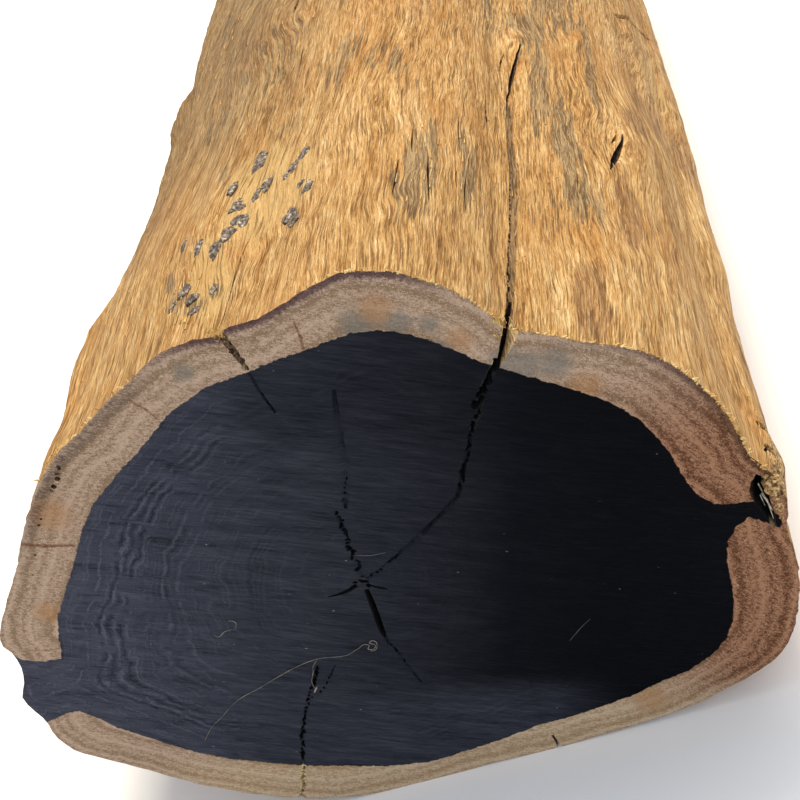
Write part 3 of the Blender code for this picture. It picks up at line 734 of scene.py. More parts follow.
def checkWall():
    # the torn inside of a drying check: brown fibre in the sapwood, near black in the heart, with painted
    # shade that darkens the sapwood deeper in
    material, tree, shader = newMaterial("torn check wall")
    grain = readAttribute(tree, "grain", "Vector")
    place = placeInMm(tree)
    fibre = noiseAt(tree, place, (0.7, 6, 0.7), 4, 0.6, 0.3)
    depth = addNode(tree, "ShaderNodeSeparateXYZ", {0: place}).outputs[1]
    sap = colourRamp(tree, fibre, [(0.36, "#97794E"), (0.5, "#CDB080"), (0.64, "#EAD6AE")])
    front = frontFace / mm
    # painted shade: the sapwood walls darken from 3.5 to 10 mm behind the front face
    sap = mixColour(tree, remap(tree, depth, front + 3.5, front + 10.0, 0.0, 0.85), sap, "#33261A")
    # broken wood's own dark brown, and painted shade deeper in
    brokenAndShadeTone = mixColour(tree, remap(tree, fibre, 0.4, 0.6), "#22150D", "#5A3B28")
    brokenAndShade = remap(tree, readAttribute(tree, "brokenAndShade"), 0.2, 0.8, 0.0, 0.9)
    sap = mixColour(tree, brokenAndShade, sap, brokenAndShadeTone)
    heart = colourRamp(tree, fibre, [(0.4, "#050506"), (0.62, "#191A1E")])
    colour = mixColour(tree, remap(tree, readAttribute(tree, "heart"), -0.2, 0.4), sap, heart)
    feed(tree, shader, {
        "Base Color": colour, "Roughness": 0.85, "Normal": bumpFrom(tree, fibre, 0.0012),
        "Specular IOR Level": 0.25})
    return material


def tornFibre():
    # splinters and crumbs of fresh sapwood: pale gold, slightly see-through at their tips
    material, tree, shader = newMaterial("torn sapwood fibre")
    place = placeInMm(tree)
    tone = noiseAt(tree, place, (1.6, 5, 1.6), 3, 0.6)
    colour = colourRamp(tree, tone, [(0.36, "#8E6530"), (0.5, "#C39A54"), (0.64, "#E2C88A")])
    feed(tree, shader, {"Base Color": colour, "Roughness": 0.6, "Specular IOR Level": 0.4})
    return material


def innerBark():
    # scraps of dry inner bark: dark grey-brown, cracked, with a few painted glints
    material, tree, shader = newMaterial("dry inner bark")
    place = placeInMm(tree)
    tone = noiseAt(tree, place, (0.9, 1.6, 0.9), 4, 0.65, 0.3)
    # the palest stop is a painted glint
    colour = colourRamp(tree, tone, [
        (0.36, "#30261F"), (0.47, "#5C4F45"), (0.57, "#8A7B6A"), (0.66, "#CFC5B0")])
    feed(tree, shader, {"Base Color": colour, "Roughness": 0.7, "Normal": bumpFrom(tree, tone, 0.0014)})
    return material


# mesh tools
def linkObject(name, mesh):
    made = bpy.data.objects.new(name, mesh)
    bpy.context.scene.collection.objects.link(made)
    return made


def meshFrom(name, points, faces):  # points in mm
    mesh = bpy.data.meshes.new(name)
    mesh.from_pydata(toMetres(points).tolist(), [], faces)
    mesh.validate()
    mesh.update()
    return mesh


def ringFaces(base, rows, corners):  # four-sided faces between rings of points
    faces = []
    for k in range(rows - 1):
        for i in range(corners):
            j = (i + 1) % corners
            at = base + k * corners
            faces.append((at + i, at + j, at + corners + j, at + corners + i))
    return faces


def tubeFaces(base, rows, corners):  # the same, closed at both ends
    last = base + (rows - 1) * corners
    ends = [tuple(base + i for i in range(corners))[::-1], tuple(last + i for i in range(corners))]
    return ringFaces(base, rows, corners) + ends


def outwardNormals(mesh):
    bm = bmesh.new()
    bm.from_mesh(mesh)
    bmesh.ops.recalc_face_normals(bm, faces=bm.faces)
    bm.to_mesh(mesh)
    bm.free()


def pointPlaces(mesh):  # the mesh's points in mm
    flat = np.zeros(len(mesh.vertices) * 3, np.float32)
    mesh.vertices.foreach_get("co", flat)
    points = flat.reshape(-1, 3).astype(float) / mm
    points[:, 1] -= frontFace / mm
    return points


def writeAttribute(mesh, name, values):
    kind = "FLOAT_VECTOR" if np.ndim(values) == 2 else "FLOAT"
    if name in mesh.attributes:
        mesh.attributes.remove(mesh.attributes[name])
    layer = mesh.attributes.new(name, kind, "POINT")
    flat = np.asarray(values, np.float32).ravel()
    layer.data.foreach_set("vector" if kind == "FLOAT_VECTOR" else "value", flat)


def applied(made, name):  # a plain mesh of what the modifiers make
    graph = bpy.context.evaluated_depsgraph_get()
    mesh = bpy.data.meshes.new_from_object(
        made.evaluated_get(graph), preserve_all_data_layers=True, depsgraph=graph)
    mesh.name = name
    made.modifiers.clear()
    made.data = mesh
    return mesh


def girthAngles():
    fine = np.linspace(-180, 180, 5761)
    radius = frontOutline(fine)
    step = np.hypot(np.diff(radius), radius[:-1] * np.radians(np.diff(fine)))
    middle = (fine[1:] + fine[:-1]) / 2
    shows = smoothStep((middle + 46) / 16) * smoothStep((176 - middle) / 14)
    spacing = logShape["lowSpacing"] + (logShape["topSpacing"] - logShape["lowSpacing"]) * shows
    travelled = np.concatenate([[0], np.cumsum(step / spacing)])
    count = int(round(travelled[-1]))
    return np.interp(travelled[-1] * np.arange(count) / count, travelled, fine)


def ringPlaces():
    places = [0.0]
    while places[-1] < lengthMm:
        share = smoothStep((places[-1] - 70) / 220)
        wider = (logShape["farSpacing"] - logShape["nearSpacing"]) * float(share)
        places.append(places[-1] + logShape["nearSpacing"] + wider)
    return np.array(places) * lengthMm / places[-1]


def capTriangles(ring, flipped, seed, boundary):
    # a sawn face: its own rim, points along the heart's edge, and an uneven grid between them
    draw = random.Random(seed)
    grid = logShape["endGrid"]
    flat = ring[:, [0, 2]]
    low, high = flat.min(0), flat.max(0)
    inner = []
    rows = int((high[1] - low[1]) / (grid * 0.87)) + 1
    for j in range(rows):
        for i in range(int((high[0] - low[0]) / grid) + 1):
            inner.append((
                low[0] + (i + 0.5 * (j % 2)) * grid + draw.uniform(-0.3, 0.3),
                low[1] + j * grid * 0.87 + draw.uniform(-0.3, 0.3)))
    inner = np.array(inner)
    inner = inner[signedDistance(inner, flat) > 1.1]
    if boundary is not None:
        lengths = np.hypot(*(np.roll(boundary, -1, 0) - boundary).T)
        edge = []
        for a, b, length in zip(boundary, np.roll(boundary, -1, 0), lengths):
            for k in range(max(int(length / 1.6), 1)):
                edge.append(a + (b - a) * k / max(int(length / 1.6), 1))
        edge = np.array(edge) + [pith["across"], pith["height"]]
        edge = edge[signedDistance(edge, flat) > 0.9]
        near = np.abs(signedDistance(inner, boundary + [pith["across"], pith["height"]]))
        inner = np.concatenate([inner[near > 0.9], edge])
    coords = [Vector(p) for p in np.concatenate([flat, inner])]
    count = len(flat)
    made = delaunay_2d_cdt(coords, [], [list(range(count))], 1, 1e-5)
    source = [ids[0] if ids else -1 for ids in made[3]]
    faces = [[source[i] for i in face] for face in made[2]]
    faces = [face for face in faces if -1 not in face]
    if flipped:
        faces = [face[::-1] for face in faces]
    return inner, faces


def buildLogMesh():
    angles, backs = girthAngles(), ringPlaces()
    radius = logRadius(angles[None, :], backs[:, None])
    points = placeAt(angles[None, :], backs[:, None], radius)
    points[..., 2] = np.maximum(points[..., 2], 0.0)
    rows, columns = points.shape[:2]
    outward = np.zeros_like(points)
    clear = smoothStep((points[..., 2] - 0.2) / 3.0)
    outward[..., 0] = np.cos(np.radians(angles))[None, :] * clear
    outward[..., 2] = np.sin(np.radians(angles))[None, :] * clear
    faces = ringFaces(0, rows, columns)
    everything = [points.reshape(-1, 3)]
    total = rows * columns
    sawnRings = (
        (points[0], 0, False, 0.0, 1, heartCorners),
        (points[-1], (rows - 1) * columns, True, lengthMm, 2, None))
    for ring, base, flipped, back, seed, boundary in sawnRings:
        inner, capFaces = capTriangles(ring, flipped, seed, boundary)
        shift = {i: base + i for i in range(columns)}
        shift.update({columns + i: total + i for i in range(len(inner))})
        faces += [tuple(shift[i] for i in face) for face in capFaces]
        everything.append(np.stack([inner[:, 0], np.full(len(inner), back), inner[:, 1]], -1))
        total += len(inner)
    allPoints = np.concatenate(everything)
    mesh = meshFrom("log_wood", allPoints, faces)
    outwardNormals(mesh)
    direction = np.zeros((len(allPoints), 3))
    direction[:rows * columns] = outward.reshape(-1, 3)
    angle, back, _ = polarOf(allPoints)
    writeAttribute(mesh, "outward", direction)
    writeAttribute(mesh, "grain", grainOf(angle, back))
    writeAttribute(mesh, "calm", calmOf(angle, back))
    print("log mesh:", rows, "rings of", columns, "points,", len(faces), "faces")
    return mesh


def calmOf(angle, back):  # how smooth the side is: 1 is as stringy as anywhere
    smooth = 0.75 * np.exp(-(wrapped(angle - 30.6) / 2.6) ** 2 - ((back - 14) / 15.0) ** 2)
    return 1.0 - smooth + 1.3 * smoothStep((wrapped(angle) - 124.0) / 14.0) * smoothStep(back / 12.0)


# fibre relief, with Geometry Nodes
reliefSpec = {
    "Fibre depth": 0.0005,  # metres from the deepest groove to the highest fibre
    "Fibre width": 1.9,  # mm across a fibre
    "Fibre length": 16.0,  # mm along it
    "Strand depth": 0.0006,
    "Strand width": 6.5,
    "Strand length": 60.0,
}


def socketsOf(tree, sizes):
    tree.interface.new_socket("Geometry", in_out="INPUT", socket_type="NodeSocketGeometry")
    for name, value in sizes.items():
        kind = "NodeSocketInt" if isinstance(value, int) else "NodeSocketFloat"
        tree.interface.new_socket(name, in_out="INPUT", socket_type=kind).default_value = value
    tree.interface.new_socket("Geometry", in_out="OUTPUT", socket_type="NodeSocketGeometry")
    return tree.nodes.new("NodeGroupInput"), tree.nodes.new("NodeGroupOutput")


def useTree(made, tree, sizes):  # inputs are set by their sockets' identifiers
    modifier = made.modifiers.new(tree.name, "NODES")
    modifier.node_group = tree
    for item in tree.interface.items_tree:
        if item.item_type == "SOCKET" and item.in_out == "INPUT" and item.name in sizes:
            modifier[item.identifier] = sizes[item.name]


def namedAttribute(tree, name, kind="FLOAT_VECTOR"):
    return addNode(tree, "GeometryNodeInputNamedAttribute", {"Name": name}, data_type=kind).outputs[0]


def realised(tree, geometry, material):  # plain geometry with its material, at a tree's end
    real = addNode(tree, "GeometryNodeRealizeInstances", {"Geometry": geometry}).outputs[0]
    return addNode(tree, "GeometryNodeSetMaterial", {"Geometry": real, "Material": material}).outputs[0]


def reliefTree(material):
    tree = bpy.data.node_groups.new("fibreRelief", "GeometryNodeTree")
    given, result = socketsOf(tree, reliefSpec)
    sizes = given.outputs
    grain, outward = namedAttribute(tree, "grain"), namedAttribute(tree, "outward")
    calm = namedAttribute(tree, "calm", "FLOAT")
    total = None
    for kind in ("Fibre", "Strand"):
        wide, long = sizes[kind + " width"], sizes[kind + " length"]
        widths = addNode(tree, "ShaderNodeCombineXYZ", {"X": wide, "Y": long, "Z": wide}).outputs[0]
        place = addNode(tree, "ShaderNodeVectorMath", {0: grain, 1: widths}, operation="DIVIDE").outputs[0]
        noise = addNode(tree, "ShaderNodeTexNoise", {
            "Vector": place, "Scale": 1.0, "Detail": 2.0, "Roughness": 0.5}).outputs["Fac"]
        height = times(tree, minus(tree, noise, 0.5), times(tree, sizes[kind + " depth"], 2.2))
        total = height if total is None else plus(tree, total, height)
    total = times(tree, total, calm)
    offset = addNode(tree, "ShaderNodeVectorMath", {0: outward, "Scale": total}, operation="SCALE").outputs[0]
    moved = addNode(tree, "GeometryNodeSetPosition", {
        "Geometry": sizes["Geometry"], "Offset": offset}).outputs[0]
    tree.links.new(realised(tree, moved, material), result.inputs[0])
    return tree


# checks and hollows
checkSpec = {  # open blades: mm right of and above the pith, and the width there
    "top": {
        "path": [
            (71, 69.5, 1.3), (65, 62.8, 1.3), (61.6, 59.0, 1.25), (59.5, 55.9, 1.2), (57.2, 52.4, 1.2),
            (55.4, 49.2, 1.3), (53.4, 47, 1.3)],
        "reach": 15.0, "innerReach": 9.0, "closing": 0.55, "rough": 0.5, "seed": 1, "drift": (1.4, -1.3)},
    "bottom": {
        "path": [(-62, -84, 1.6), (-56, -76, 1.4), (-52.5, -71.8, 1.3), (-50.7, -69.6, 0.9)],
        "reach": 30.0, "innerReach": 9.0, "closing": 0.3, "rough": 0.3, "seed": 2},
    "starLow": {
        "path": [
            (-0.1, -2.6, 1.2), (-0.9, -8.5, 1.8), (-1.8, -13.4, 2.0), (-2.6, -18.5, 1.4),
            (-2.7, -20, 0.8)],
        "reach": 11.0, "innerReach": 5.0, "closing": 0.5, "rough": 0.16, "seed": 5},
    "starLeft": {
        "path": [(-1.6, -0.5, 0.9), (-5.3, -1.5, 1.0), (-8, -1.7, 0.7), (-10, -1.5, 0.5)],
        "reach": 7.0, "innerReach": 3.0, "closing": 0.5, "rough": 0.25, "seed": 8},
    "starRight": {
        "path": [(1.5, -1.8, 0.8), (3.3, -3.5, 0.8), (4.8, -4.8, 0.4)],
        "reach": 4.0, "innerReach": 2.0, "closing": 0.5, "rough": 0.2, "seed": 9},
    "notch": {
        "path": [(23.7, -79, 1.8), (23.7, -75.7, 1.3), (23.6, -70, 0.7)],
        "reach": 9.0, "innerReach": 3.0, "closing": 0.3, "rough": 0.2, "seed": 10},
}
creaseSpec = {  # shallow torn grooves that join the holes: the same, and a depth
    "topUpper": ([(54.6, 49, 2.0), (53.6, 47.7, 2.0), (49.2, 42.6, 1.8), (45.5, 36.7, 1.7)], 0.7),
    "topMiddle": ([(46, 37.5, 1.4), (41.2, 30.9, 1.5), (35.8, 22, 1.3), (33.4, 18.4, 1.0)], 0.6),
    "topLower": ([
        (34, 19, 1.4), (32, 16.4, 1.6), (26.2, 12.8, 1.5), (19.3, 8.8, 1.5), (12.5, 5.3, 1.2)], 0.7),
    "topInner": ([(13.5, 5.8, 1.0), (6.3, 2.1, 1.2), (1.6, 0.5, 1.5)], 0.5),
    "starHigh": ([(0.4, 1.5, 1.6), (1.3, 6, 1.9), (2.0, 10.9, 2.0), (3.1, 17, 1.7), (3.9, 23.5, 0.8)], 0.5),
    "valley": ([
        (6.3, 23, 0.8), (7.4, 25.4, 1.8), (9.2, 29.5, 2.2), (11.5, 33.5, 2.2), (13.4, 40, 2.4),
        (16, 47.3, 2.2), (18.6, 55.2, 0.9)], 0.9),
    "starTail": ([(-2.6, -19.6, 1.2), (-1.8, -26.9, 1.0), (-1.4, -32.3, 0.9), (-0.6, -38.2, 0.5)], 0.4),
    "bottom": ([
        (-51, -70, 1.7), (-45, -58.8, 1.9), (-39.9, -47.3, 1.6), (-34.9, -38.5, 1.9), (-28.6, -30.4, 1.3),
        (-23, -22.5, 0.8)], 0.5),
    "bottomFork": ([(-31.5, -34.4, 1.3), (-26.1, -31.4, 1.2), (-18.9, -24.1, 0.7)], 0.35),
    "stepRim": ([(2.2, 84, 3.0), (2.6, 79, 2.5), (3.0, 73.5, 1.6), (3.4, 67.3, 1.0)], 0.6),
    "stepHeart": ([(3.4, 66.5, 1.0), (3.5, 62, 1.1), (3.8, 54.4, 0.6)], 0.6),
    "sawStep": ([(25.6, -47.8, 0.5), (23.9, -58, 0.6), (22.4, -67.4, 0.5)], 0.18),
}
# ragged holes: path, spacing, half length, half width, depth, sideways, seed
chainSpec = {"chains": [
    ([(55.5, 49.6), (52.6, 46.6), (49.4, 42.9), (46.0, 38.0)], 1.0, (0.7, 1.5), (0.6, 1.35), 4.0, 0.8, 1),
    ([
        (45.5, 37), (43.6, 34.4), (41.2, 30.8), (38.1, 25.8),
        (33.5, 18.1)], 1.4, (0.5, 1.5), (0.3, 0.65), 2.4, 0.45, 2),
    ([(32, 16.4), (26.2, 12.8), (19.3, 8.8), (12.5, 5.3)], 4.2, (0.4, 0.9), (0.12, 0.2), 1.2, 0.2, 3),
    ([(12.5, 5.3), (6.3, 2.1), (2.4, 0.8)], 1.5, (0.5, 1.0), (0.25, 0.45), 2.5, 0.25, 4),
    ([(0.9, 4), (1.3, 6), (2.0, 10.9), (3.1, 17), (3.9, 22.9)], 0.95, (0.4, 1.0), (0.4, 0.9), 2.2, 0.7, 5),
    ([(7.2, 25.4), (8.6, 28.5), (10.6, 32)], 1.3, (0.3, 0.7), (0.2, 0.45), 1.8, 0.5, 6),
    ([(-2.7, -21.4), (-1.8, -26.9), (-1.4, -32.3), (-0.8, -37)], 1.9, (0.5, 1.2), (0.2, 0.38), 2.0, 0.2, 7),
    ([
        (-51.5, -70.6), (-45, -58.8), (-39.9, -47.3), (-34.9, -38.5), (-28.6, -30.4),
        (-23.4, -23)], 1.5, (0.5, 1.2), (0.3, 0.75), 3.6, 0.4, 8),
    ([(-30, -33.2), (-26.1, -31.4), (-20, -25.4)], 1.6, (0.35, 0.8), (0.2, 0.45), 2.4, 0.3, 9),
    ([(-1.6, 0.6), (0.2, -0.2), (1.6, -1.4)], 1.3, (0.5, 1.0), (0.35, 0.8), 6.0, 0.8, 10),
    ([(2.4, 81), (2.6, 77), (3.2, 70.5), (3.4, 67.3)], 1.7, (0.4, 1.1), (0.25, 0.7), 1.8, 0.6, 11),
    ([(3.5, 62), (3.8, 55)], 2.2, (0.5, 1.1), (0.14, 0.25), 1.5, 0.15, 12),
]}
backCheckSpec = {
    "backWide": {
        "path": [
            (66, 74, 2.3), (57, 62, 2.0), (46, 49, 1.6), (35, 38, 1.3), (22, 24, 1.0), (8, 10, 1.0),
            (-2, -1, 1.0)],
        "reach": 90.0, "innerReach": 10.0, "closing": 0.3, "rough": 0.35, "seed": 21},
    "backLow": {
        "path": [(-1, 1, 1.2), (-12, -9, 1.1), (-26, -18, 1.0), (-40, -29, 0.8), (-52, -36, 0.5)],
        "reach": 9.0, "innerReach": 6.0, "closing": 0.4, "rough": 0.3, "seed": 22},
    "backLeft": {
        "path": [(1, 0, 1.1), (-14, 9, 1.0), (-28, 14, 0.8), (-40, 22, 0.5)],
        "reach": 8.0, "innerReach": 5.0, "closing": 0.4, "rough": 0.3, "seed": 23},
}


def unevenLine(count, seed, octaves=3):  # smooth wander between about -1 and 1
    draw = np.random.RandomState(seed)
    t = np.linspace(0, 1, count)
    total = np.zeros(count)
    for octave in range(octaves):
        knots = max(int(count / (9 / 2 ** octave)), 2) + 2
        total += np.interp(t, np.linspace(0, 1, knots), draw.uniform(-1, 1, knots)) / 1.6 ** octave
    return total / 1.6


def lengthsAlong(path):  # how far along a flat path each of its points lies
    return np.concatenate([[0], np.cumsum(np.hypot(*np.diff(path[:, :2], axis=0).T))])


def leftOf(places):  # the direction to the left of a flat path at each place
    along = np.gradient(places[:, :2], axis=0)
    along /= np.maximum(np.hypot(*along.T), 1e-9)[:, None]
    return np.stack([-along[:, 1], along[:, 0]], -1)


def loftMesh(name, sections):
    # a closed solid through cross sections of equally many points each
    sections = np.asarray(sections)
    rows, columns = sections.shape[:2]
    mesh = meshFrom(name, sections.reshape(-1, 3), tubeFaces(0, rows, columns))
    outwardNormals(mesh)
    return mesh


def bladeCutter(name, spec, fromBack=False):
    # a ragged blade: along its path at each depth, and closing as it goes in
    path = np.array(spec["path"], float)
    lengths = lengthsAlong(path)
    columns = max(int(lengths[-1] / 1.3), 4)
    rows = max(int(spec["reach"] / 3.0), 3)
    inner = min(spec["innerReach"] / spec["reach"], 1.0)
    mouthFirst = np.hypot(*path[0, :2]) > np.hypot(*path[-1, :2])
    points = []
    for k in range(rows + 1):
        share = k / rows
        depth = -1.0 + (spec["reach"] + 1.0) * share
        left = 1.0 if share <= inner else 1.0 - (share - inner) / (1 - inner) * 0.8
        span = np.linspace(0, left, columns + 1) * lengths[-1]
        if not mouthFirst:
            span = span[::-1]
        at = np.stack([np.interp(span, lengths, path[:, c]) for c in range(3)], -1)
        side = leftOf(at)
        wander = unevenLine(columns + 1, spec["seed"] * 10) * spec["rough"] * 0.9
        half = at[:, 2] / 2 * (1.0 - (1.0 - spec["closing"]) * share)
        seed = spec["seed"] * 10 + k // 4
        leftHalf = np.maximum(half + unevenLine(columns + 1, seed + 1, 4) * spec["rough"], 0.09)
        rightHalf = np.maximum(half + unevenLine(columns + 1, seed + 2, 4) * spec["rough"], 0.09)
        y = lengthMm - depth if fromBack else depth
        for offset in (leftHalf, -rightHalf):
            flat = at[:, :2] + side * (wander + offset)[:, None] + [pith["across"], pith["height"]]
            flat = flat + np.array(spec.get("drift", (0.0, 0.0))) * share
            points.append(np.stack([flat[:, 0], np.full(len(flat), y), flat[:, 1]], -1))
    points = np.array(points).reshape(rows + 1, 2, columns + 1, 3)
    sections = np.concatenate([points[:, 0], points[:, 1, ::-1]], 1)
    return loftMesh(name, sections)


def creaseCutter(name, path, deep, seed):
    # a shallow V along a path on the front face, its width and line uneven
    path = np.array(path, float)
    lengths = lengthsAlong(path)
    count = max(int(lengths[-1] / 0.8), 5)
    span = np.linspace(0, lengths[-1], count)
    at = np.stack([np.interp(span, lengths, path[:, c]) for c in range(3)], -1)
    side = leftOf(at)
    middle = unevenLine(count, seed, 4) * 0.3
    left = np.maximum(at[:, 2] / 2 * (1 + 0.5 * unevenLine(count, seed + 1, 5)), 0.1)
    right = np.maximum(at[:, 2] / 2 * (1 + 0.5 * unevenLine(count, seed + 2, 5)), 0.1)
    floor = deep * (1 + 0.5 * unevenLine(count, seed + 3, 5))
    slope = 0.85 * 0.7 / floor
    sections = []
    for k in range(count):
        shape = [(left[k] * (1 + slope[k]), -0.7), (left[k] * 0.15, floor[k]), (-right[k] * 0.15, floor[k]),
                 (-right[k] * (1 + slope[k]), -0.7)]
        flat = [at[k, :2] + side[k] * (middle[k] + s) + [pith["across"], pith["height"]] for s, _ in shape]
        sections.append([(f[0], y, f[1]) for f, (_, y) in zip(flat, shape)])
    return loftMesh(name, sections)


def raggedHole(origin, along, across, inward, halfAlong, halfAcross, deep, draw):
    # rings of an uneven hole that narrows as it goes in, with its place and reach
    corners = 8
    turns = [2 * math.pi * (i + draw.uniform(-0.3, 0.3)) / corners for i in range(corners)]
    radii = [draw.uniform(0.68, 1.15) for _ in range(corners)]
    rings = []
    for step, size in ((-0.7, 1.05), (deep * 0.3, 0.95), (deep * 0.7, 0.75), (deep, 0.4)):
        rings.append([
            origin + inward * step + along * (math.cos(t) * r * halfAlong * size)
            + across * (math.sin(t) * r * halfAcross * size) for t, r in zip(turns, radii)])
    return {"rings": rings, "at": origin, "reach": max(halfAlong, halfAcross) * 1.25}


def faceHoles():
    holes = []
    for path, spacing, lengths, widths, deep, sideways, seed in chainSpec["chains"]:
        draw = random.Random(seed)
        path = np.array(path, float)
        ends = lengthsAlong(path)
        span = 0.0
        while span <= ends[-1]:
            spans = (span, span + 0.5, span - 0.5)
            at, ahead, back = [np.array([np.interp(s, ends, path[:, c]) for c in range(2)]) for s in spans]
            heading = (ahead - back) / np.hypot(*(ahead - back))
            tilt = draw.uniform(-0.5, 0.5)
            heading = np.array([heading[0] * math.cos(tilt) - heading[1] * math.sin(tilt),
                                heading[0] * math.sin(tilt) + heading[1] * math.cos(tilt)])
            side = np.array([-heading[1], heading[0]])
            at = at + side * draw.uniform(-1, 1) * sideways + [pith["across"], pith["height"]]
            at, heading, side = [np.array([flat[0], 0, flat[1]]) for flat in (at, heading, side)]
            holes.append(raggedHole(
                at, heading, side, np.array([0.0, 1, 0]), draw.uniform(*lengths), draw.uniform(*widths),
                deep * draw.uniform(0.6, 1.3), draw))
            span += spacing * draw.uniform(0.75, 1.35)
    return holes


def holeMeshes(name, holes):
    # holes that touch go into different cutters, so that none overlaps itself
    groups = []
    for hole in holes:
        for group in groups:
            gaps = [np.linalg.norm(hole["at"] - other["at"]) - other["reach"] for other in group]
            if min(gaps) > hole["reach"]:
                group.append(hole)
                break
        else:
            groups.append([hole])
    meshes = []
    for n, group in enumerate(groups):
        points, faces = [], []
        for hole in group:
            faces += tubeFaces(len(points), len(hole["rings"]), len(hole["rings"][0]))
            for ring in hole["rings"]:
                points += ring
        mesh = meshFrom(name + str(n), np.array(points), faces)
        outwardNormals(mesh)
        meshes.append(mesh)
    return meshes


longCheck = {  # the top check where it runs back along the side
    "line": [
        (0, 42.9), (18, 42.0), (36, 41.4), (56, 41.0), (77, 40.7), (100, 41.0), (117, 40.9), (135, 39.8),
        (154, 38.4)],
    "groove": [(0, 2.4), (8, 2.2), (30, 2.0), (60, 2.3), (85, 2.4), (100, 1.8), (112, 1.2), (122, 0.5)],
    "grooveTo": 121.0, "grooveDepth": 0.62,
    "slit": [(110, 0.4), (118, 0.6), (126, 0.9), (136, 1.15), (146, 0.8), (155, 0.2)],
    "slitDepth": [(108, 2), (120, 6), (140, 6), (154, 1.5)],
    "slitFrom": 110.0, "slitTo": 155.0,
    "holesTo": 80.0,  # ragged holes along its left edge, from the face to here
}


def frameOnSide(angle, back, lift=0.0):  # a place on the side, and the ways round it and outward
    surface = float(logRadius(angle, np.clip(back, 0, lengthMm)))
    turn = math.radians(angle)
    outward = np.array([math.cos(turn), 0, math.sin(turn)])
    around = np.array([-math.sin(turn), 0, math.cos(turn)])
    return placeAt(angle, back, surface + lift), around, outward


def longCheckCutters():
    line = np.array(longCheck["line"]).T
    backs = np.arange(-1.0, longCheck["grooveTo"], 1.3)
    count = len(backs)
    wide = np.interp(backs, *np.array(longCheck["groove"]).T)
    left = np.maximum(wide / 2 + unevenLine(count, 51, 5) * 0.3, 0.12)
    right = np.maximum(wide / 2 + unevenLine(count, 52, 5) * 0.2, 0.12)
    middle = unevenLine(count, 53, 3) * 0.25
    deep = longCheck["grooveDepth"] * (1 + 0.12 * unevenLine(count, 54, 4))
    sections = []
    for k, back in enumerate(backs):
        angle = np.interp(back, *line) + math.degrees(middle[k] / checkRadius)
        base, around, outward = frameOnSide(angle, back)
        shape = [
            (left[k] * 1.3, 2.0), (left[k], -0.1), (left[k] * 0.8, -deep[k]),
            (-right[k] * 0.5, -deep[k] * 0.8), (-right[k], -0.1), (-right[k] * 1.3, 2.0)]
        sections.append([base + around * s + outward * o for s, o in shape])
    meshes = [loftMesh("longCheckGroove", sections)]
    backs = np.arange(longCheck["slitFrom"], longCheck["slitTo"], 1.5)
    meshes.append(slitCutter("longCheckSlit", np.stack([np.interp(backs, *line), backs], -1),
                             np.interp(backs, *np.array(longCheck["slit"]).T),
                             np.interp(backs, *np.array(longCheck["slitDepth"]).T), 0.22, 61))
    draw = random.Random(7)
    holes = []
    back = 0.5
    while back < longCheck["holesTo"]:
        near = 1.0 - back / longCheck["holesTo"]
        angle = np.interp(back, *line) + math.degrees(draw.choice((0.6, 0.7, 0.65, 0.2)) / checkRadius)
        base, around, outward = frameOnSide(angle, back, -longCheck["grooveDepth"] + 0.2)
        holes.append(raggedHole(base, np.array([0.0, 1, 0]), around, -outward, draw.uniform(0.5, 1.9),
                                draw.uniform(0.2, 0.42) * (0.7 + 0.5 * near), draw.uniform(1.5, 4.0), draw))
        back += draw.uniform(1.0, 2.6) / (0.5 + 0.6 * near)
    return meshes + holeMeshes("longCheckHole", holes)


# short open cracks in the side: angle and back of both ends, width, depth
sideSlits = {"rough": 0.16, "seed": 200, "cracks": [
    (45.9, 112, 45.6, 84, 0.6, 1.6), (56.9, 57, 56.6, 34, 0.7, 1.6), (51.9, 92, 51.4, 66, 0.55, 1.3),
    (52.2, 62, 52.0, 47, 0.5, 1.2), (59.9, 68, 59.4, 54, 0.55, 1.2), (50.4, 56, 50.2, 38, 0.5, 1.2),
    (88.9, 3, 86.5, 36, 0.8, 1.4), (61.5, 48, 61.9, 32, 0.5, 1.1), (33.8, 132, 33.0, 108, 0.5, 1.2),
    (30.6, 84, 30.2, 62, 0.45, 1.1), (84.9, 150, 84.6, 128, 0.5, 1.1), (112, 225, 109, 248, 0.9, 1.6),
    (90.6, 188, 90.2, 200, 1.0, 1.4), (24.4, 65.1, 23.5, 58.9, 0.6, 0.9), (36.6, 128, 37.6, 148, 0.8, 1.2),
    (41.5, 146, 42.4, 134, 0.7, 1.0), (118, 130, 121, 160, 0.5, 1.1), (71, 250, 70, 290, 0.7, 1.5),
    (20, 300, 21, 345, 0.8, 1.8), (-12, 170, -13, 215, 0.7, 1.6), (135, 250, 134, 300, 0.7, 1.5),
    (-150, 150, -151, 200, 0.8, 1.6), (166, 330, 167, 380, 0.7, 1.6), (-38, 90, -37, 140, 0.7, 1.5),
    (98, 350, 99, 410, 0.8, 1.8), (15, 225, 13, 262, 0.6, 1.4), (-170, 40, -171, 80, 0.7, 1.4),
]}
crescent = {  # the eye of the knot on the right
    "line": [(113, 21.9), (106, 22.2), (100, 22.8), (95, 23.6), (90, 24.4), (86, 25.1), (81, 25.7)],
    "width": [(113, 0.5), (106, 1.0), (100, 1.2), (95, 1.6), (90, 2.0), (86, 1.8), (81, 0.3)],
    "depth": [(113, 1.0), (106, 1.7), (100, 2.2), (95, 2.8), (90, 3.6), (86, 3.4), (81, 1.0)],
}
crescentSide = {
    "line": [(106, 23.4), (102, 23.7), (97, 24.9)], "width": [(106, 0.3), (102, 1.1), (97, 0.4)],
    "depth": [(106, 0.5), (102, 1.3), (97, 0.6)],
}
